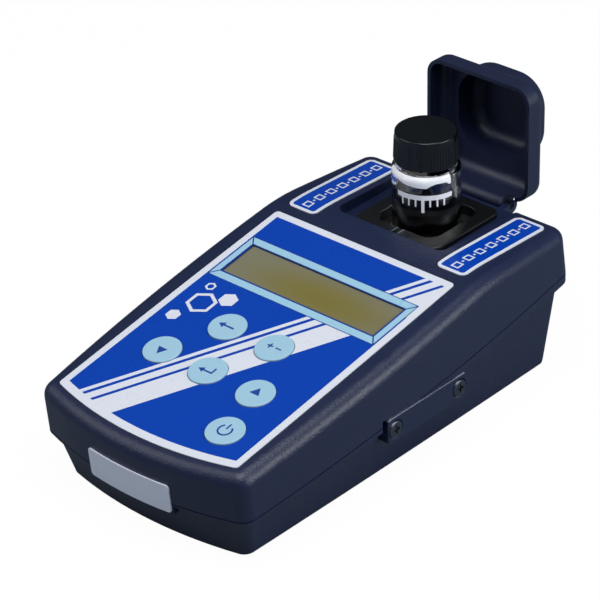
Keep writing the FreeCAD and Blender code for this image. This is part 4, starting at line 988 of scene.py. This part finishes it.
@dataclass
class KeyLegends:
    """Thin printed signs on the tops of the keys, drawn in millimetres, x across and y up the panel.

    Attributes:
        top: Height of the keys' tops over the panel, in millimetres.
        thick: The ink's thickness.
        ring_steps: Facets round the power sign's ring.
        places: Each key's place across and up the panel, and its sign.
    """

    top: float = 0.72
    thick: float = 0.06
    ring_steps: int = 32
    places: dict[str, tuple[float, float, Legend]] = field(default_factory=lambda: {
        "key_upper_left": (-10.8, 51.1, Legend.BACK), "key_upper_right": (10.1, 51.1, Legend.ADJUST),
        "key_lower_left": (-21.6, 30.7, Legend.DOWN), "key_lower_middle": (-0.9, 30.6, Legend.ACCEPT),
        "key_lower_right": (20.5, 30.3, Legend.UP), "key_power": (24.6, 11.2, Legend.POWER)})

    def bar(self, shape: bmesh.types.BMesh, x: float, y: float, long: float, wide: float) -> None:
        """Add a flat bar, long across and wide up, centred on x and y."""
        matrix = Matrix.Translation((x * MM, y * MM, 0)) @ Matrix.Diagonal((long * MM, wide * MM, 1, 1))
        bmesh.ops.create_grid(shape, x_segments=1, y_segments=1, size=0.5, matrix=matrix)

    def wedge(self, shape: bmesh.types.BMesh, x: float, y: float, radius: float, turn: float) -> None:
        """Add a flat triangle about x and y, whose tip points along turn."""
        matrix = Matrix.Translation((x * MM, y * MM, 0)) @ Matrix.Rotation(turn - math.pi / 2, 4, "Z")
        bmesh.ops.create_circle(shape, cap_ends=True, segments=3, radius=radius * MM, matrix=matrix)

    def ring(self, shape: bmesh.types.BMesh, radius: float, wide: float, gap: float) -> None:
        """Add a flat ring about the origin, with a gap at its top."""
        ends = [shape.verts.new((r * MM * math.sin(gap / 2), r * MM * math.cos(gap / 2), 0))
                for r in (radius - wide / 2, radius + wide / 2)]
        edge = shape.edges.new(ends)
        bmesh.ops.spin(shape, geom=ends + [edge], cent=(0, 0, 0), axis=(0, 0, -1),
                       angle=2 * math.pi - gap, steps=self.ring_steps)

    def draw(self, shape: bmesh.types.BMesh, legend: Legend) -> None:
        """Draw one sign about the origin.

        Args:
            shape: The mesh that takes the sign.
            legend: Which sign.
        """
        quarter = math.pi / 2
        if legend is Legend.BACK:
            self.bar(shape, 0.7, 0, 4.2, 0.75)
            self.wedge(shape, -2.2, 0, 1.6, math.pi)
        elif legend is Legend.ADJUST:
            self.bar(shape, -1.6, 0, 2.4, 0.6)
            self.bar(shape, -1.6, 0, 0.6, 2.4)
            self.bar(shape, 1.9, 0, 2.4, 0.6)
        elif legend is Legend.DOWN:
            self.wedge(shape, 0, -0.5, 2.3, -quarter)
        elif legend is Legend.ACCEPT:
            self.bar(shape, 0.4, -0.6, 4.2, 0.7)
            self.bar(shape, 2.2, 0.55, 0.7, 2.9)
            self.wedge(shape, -2.0, -0.6, 1.5, math.pi)
        elif legend is Legend.UP:
            self.wedge(shape, 0, 0.4, 2.3, quarter)
        else:
            self.ring(shape, 2.4, 0.6, math.radians(80))
            self.bar(shape, 0, 1.9, 0.6, 2.6)

    def build(self, material: bpy.types.Material) -> None:
        """Build every sign and lay it on its key.

        Args:
            material: The signs' ink.
        """
        for key, (across, up, legend) in self.places.items():
            shape = bmesh.new()
            self.draw(shape, legend)
            bmesh.ops.solidify(shape, geom=shape.faces[:], thickness=self.thick * MM)
            bmesh.ops.transform(shape, matrix=PANEL.matrix(across, up, self.top), verts=shape.verts[:])
            finish_mesh(f"{key}_legend", shape, material, key, smooth=False)


@dataclass
class Studio:
    """Camera, lamps, floor and world.

    Attributes:
        azimuth: The camera's angle from the front towards the right, in degrees.
        elevation: Its angle above the table.
        roll: How far the picture is turned.
        target: What it looks at, in millimetres.
        distance: How far away it stands.
        lens: Focal length on a 36 mm wide sensor.
        sensor: That width.
        reach: How far the camera sees, in metres.
        tint: Colour of the lamps, a little cool.
        shade: Colour of the dim surround that only the instrument sees.
        dim: Strength of that surround.
        bounce: How light the floor is for light that bounces off it.
        paper: How light the floor is for the camera.
        glow: Share of the floor's light that is even, for the camera and through glass.
        gloss: Share of it that gloss sees.
        floor_half: Half the floor's width, in metres.
        lamps: Each lamp's name, place in metres, side in metres and power in watts.
    """

    azimuth: float = 42.96
    elevation: float = 30.62
    roll: float = -1.93
    target: tuple[float, float, float] = (-0.315, -13.32, 48.54)
    distance: float = 1076.19
    lens: float = 193.8
    sensor: float = 36.0
    reach: float = 20.0
    tint: tuple[float, float, float] = (0.94, 0.975, 1.0)
    shade: tuple[float, float, float, float] = (0.72, 0.86, 1.0, 1.0)
    dim: float = 0.1
    bounce: float = 0.22
    paper: float = 0.9
    glow: float = 0.97
    gloss: float = 0.05
    floor_half: float = 3.0
    lamps: tuple[tuple[str, tuple[float, float, float], float, float], ...] = (
        ("top_lamp", (0.3, -0.2, 1.15), 0.9, 13.8), ("left_lamp", (-0.75, -0.62, 0.85), 0.9, 5.4),
        ("right_lamp", (1.05, 0.42, 0.36), 0.6, 8.0))

    def camera(self) -> None:
        """Place the camera where the photograph was taken from."""
        a, e, r = (math.radians(v) for v in (self.azimuth, self.elevation, self.roll))
        back = Vector((math.sin(a) * math.cos(e), -math.cos(a) * math.cos(e), math.sin(e)))
        right = Vector((math.cos(a), math.sin(a), 0))
        up = back.cross(right)
        across = right * math.cos(r) + up * math.sin(r)
        upward = up * math.cos(r) - right * math.sin(r)
        turn = Matrix((across, upward, back)).transposed().to_4x4()
        data = bpy.data.cameras.new("camera")
        data.lens, data.sensor_width = self.lens, self.sensor
        data.clip_end = self.reach
        seen = bpy.data.objects.new("camera", data)
        seen.matrix_world = Matrix.Translation((Vector(self.target) + back * self.distance) * MM) @ turn
        bpy.context.scene.collection.objects.link(seen)
        bpy.context.scene.camera = seen

    def lamp(self, name: str, place: tuple[float, float, float], size: float, power: float) -> None:
        """Add a square soft lamp that faces the instrument.

        Args:
            name: The lamp's name.
            place: Where it hangs, in metres.
            size: Its side, in metres.
            power: Its power, in watts.
        """
        data = bpy.data.lights.new(name, "AREA")
        data.shape, data.size, data.energy = "SQUARE", size, power
        data.color = self.tint
        obj = bpy.data.objects.new(name, data)
        facing = Vector(place).to_track_quat("Z", "Y").to_matrix().to_4x4()
        obj.matrix_world = Matrix.Translation(place) @ facing
        bpy.context.scene.collection.objects.link(obj)

    def world(self) -> None:
        """Light the scene from a dim cool surround, which the camera and clear glass see as white."""
        surround = bpy.data.worlds.new("surround")
        surround.use_nodes = True
        tree = surround.node_tree
        tree.nodes.clear()
        path = add_node(tree, "ShaderNodeLightPath").outputs
        seen = add_node(tree, "ShaderNodeMath", {0: path["Is Camera Ray"], 1: path["Is Transmission Ray"]},
                        operation="MAXIMUM")
        strength = add_node(tree, "ShaderNodeMapRange", {
            "Value": seen.outputs[0], "To Min": self.dim, "To Max": 1.0})
        hue = add_node(tree, "ShaderNodeMix", {
            FACTOR: seen.outputs[0], UNDER: self.shade, OVER: WHITE}, data_type="RGBA")
        glow = add_node(tree, "ShaderNodeBackground", {
            "Color": hue.outputs[MIXED], "Strength": strength.outputs[0]})
        out = add_node(tree, "ShaderNodeOutputWorld")
        tree.links.new(glow.outputs[0], out.inputs[0])
        bpy.context.scene.world = surround

    def floor(self) -> None:
        """Lay a white paper floor that keeps a soft shadow."""
        paper = bpy.data.materials.new("paper_floor")
        paper.use_nodes = True
        tree = paper.node_tree
        tree.nodes.clear()
        path = add_node(tree, "ShaderNodeLightPath").outputs
        # Dark plastic would look milky over a fully white floor, so gloss and bounced light see it greyer.
        gloss = add_node(tree, "ShaderNodeMath", {0: path["Is Glossy Ray"], 1: self.gloss},
                         operation="MULTIPLY")
        clear = add_node(tree, "ShaderNodeMath", {0: path["Is Camera Ray"], 1: path["Is Transmission Ray"]},
                         operation="MAXIMUM")
        dark = tuple(c * self.bounce for c in self.shade[:3]) + (1.0,)
        light = (self.paper, self.paper, self.paper, 1.0)
        grey = add_node(tree, "ShaderNodeMix", {
            FACTOR: clear.outputs[0], UNDER: dark, OVER: light}, data_type="RGBA")
        matt = add_node(tree, "ShaderNodeBsdfDiffuse", {"Color": grey.outputs[MIXED]})
        hue = add_node(tree, "ShaderNodeMix", {
            FACTOR: clear.outputs[0], UNDER: self.shade, OVER: WHITE}, data_type="RGBA")
        glow = add_node(tree, "ShaderNodeEmission", {"Color": hue.outputs[MIXED], "Strength": 1.0})
        full = add_node(tree, "ShaderNodeMath", {0: clear.outputs[0], 1: self.glow}, operation="MULTIPLY")
        share = add_node(tree, "ShaderNodeMath", {
            0: full.outputs[0], 1: gloss.outputs[0]}, operation="MAXIMUM")
        mixed = add_node(tree, "ShaderNodeMixShader", {
            0: share.outputs[0], 1: matt.outputs[0], 2: glow.outputs[0]})
        out = add_node(tree, "ShaderNodeOutputMaterial")
        tree.links.new(mixed.outputs[0], out.inputs[0])
        shape = bmesh.new()
        bmesh.ops.create_grid(shape, x_segments=1, y_segments=1, size=self.floor_half)
        mesh = bpy.data.meshes.new("floor")
        shape.to_mesh(mesh)
        shape.free()
        mesh.materials.append(paper)
        plane = bpy.data.objects.new("floor", mesh)
        bpy.context.scene.collection.objects.link(plane)

    def build(self) -> None:
        """Set up everything around the instrument."""
        self.camera()
        self.world()
        self.floor()
        for name, place, size, power in self.lamps:
            self.lamp(name, place, size, power)
        view = bpy.context.scene.view_settings
        view.view_transform = "Standard"


def main() -> None:
    """Dress the instrument, piece by piece, and set up the studio."""
    logging.basicConfig(level=logging.INFO, format="%(message)s")
    Studio().build()
    finishes = Finishes()
    materials = finishes.by_node()
    for node, obj in frame["nodes"].items():
        obj.data.materials.clear()
        obj.data.materials.append(materials[node])
    SmoothedCase().build(materials)
    LifterCoil().build(materials["lifter_spring"])
    VialCap().build(finishes.cap)
    VialMarksAndReflection().build(finishes.mark)
    CollarHighlightLips().build(finishes.painted_lip_highlight)
    KeyLegends().build(finishes.legend)


if __name__ == "__main__":
    main()
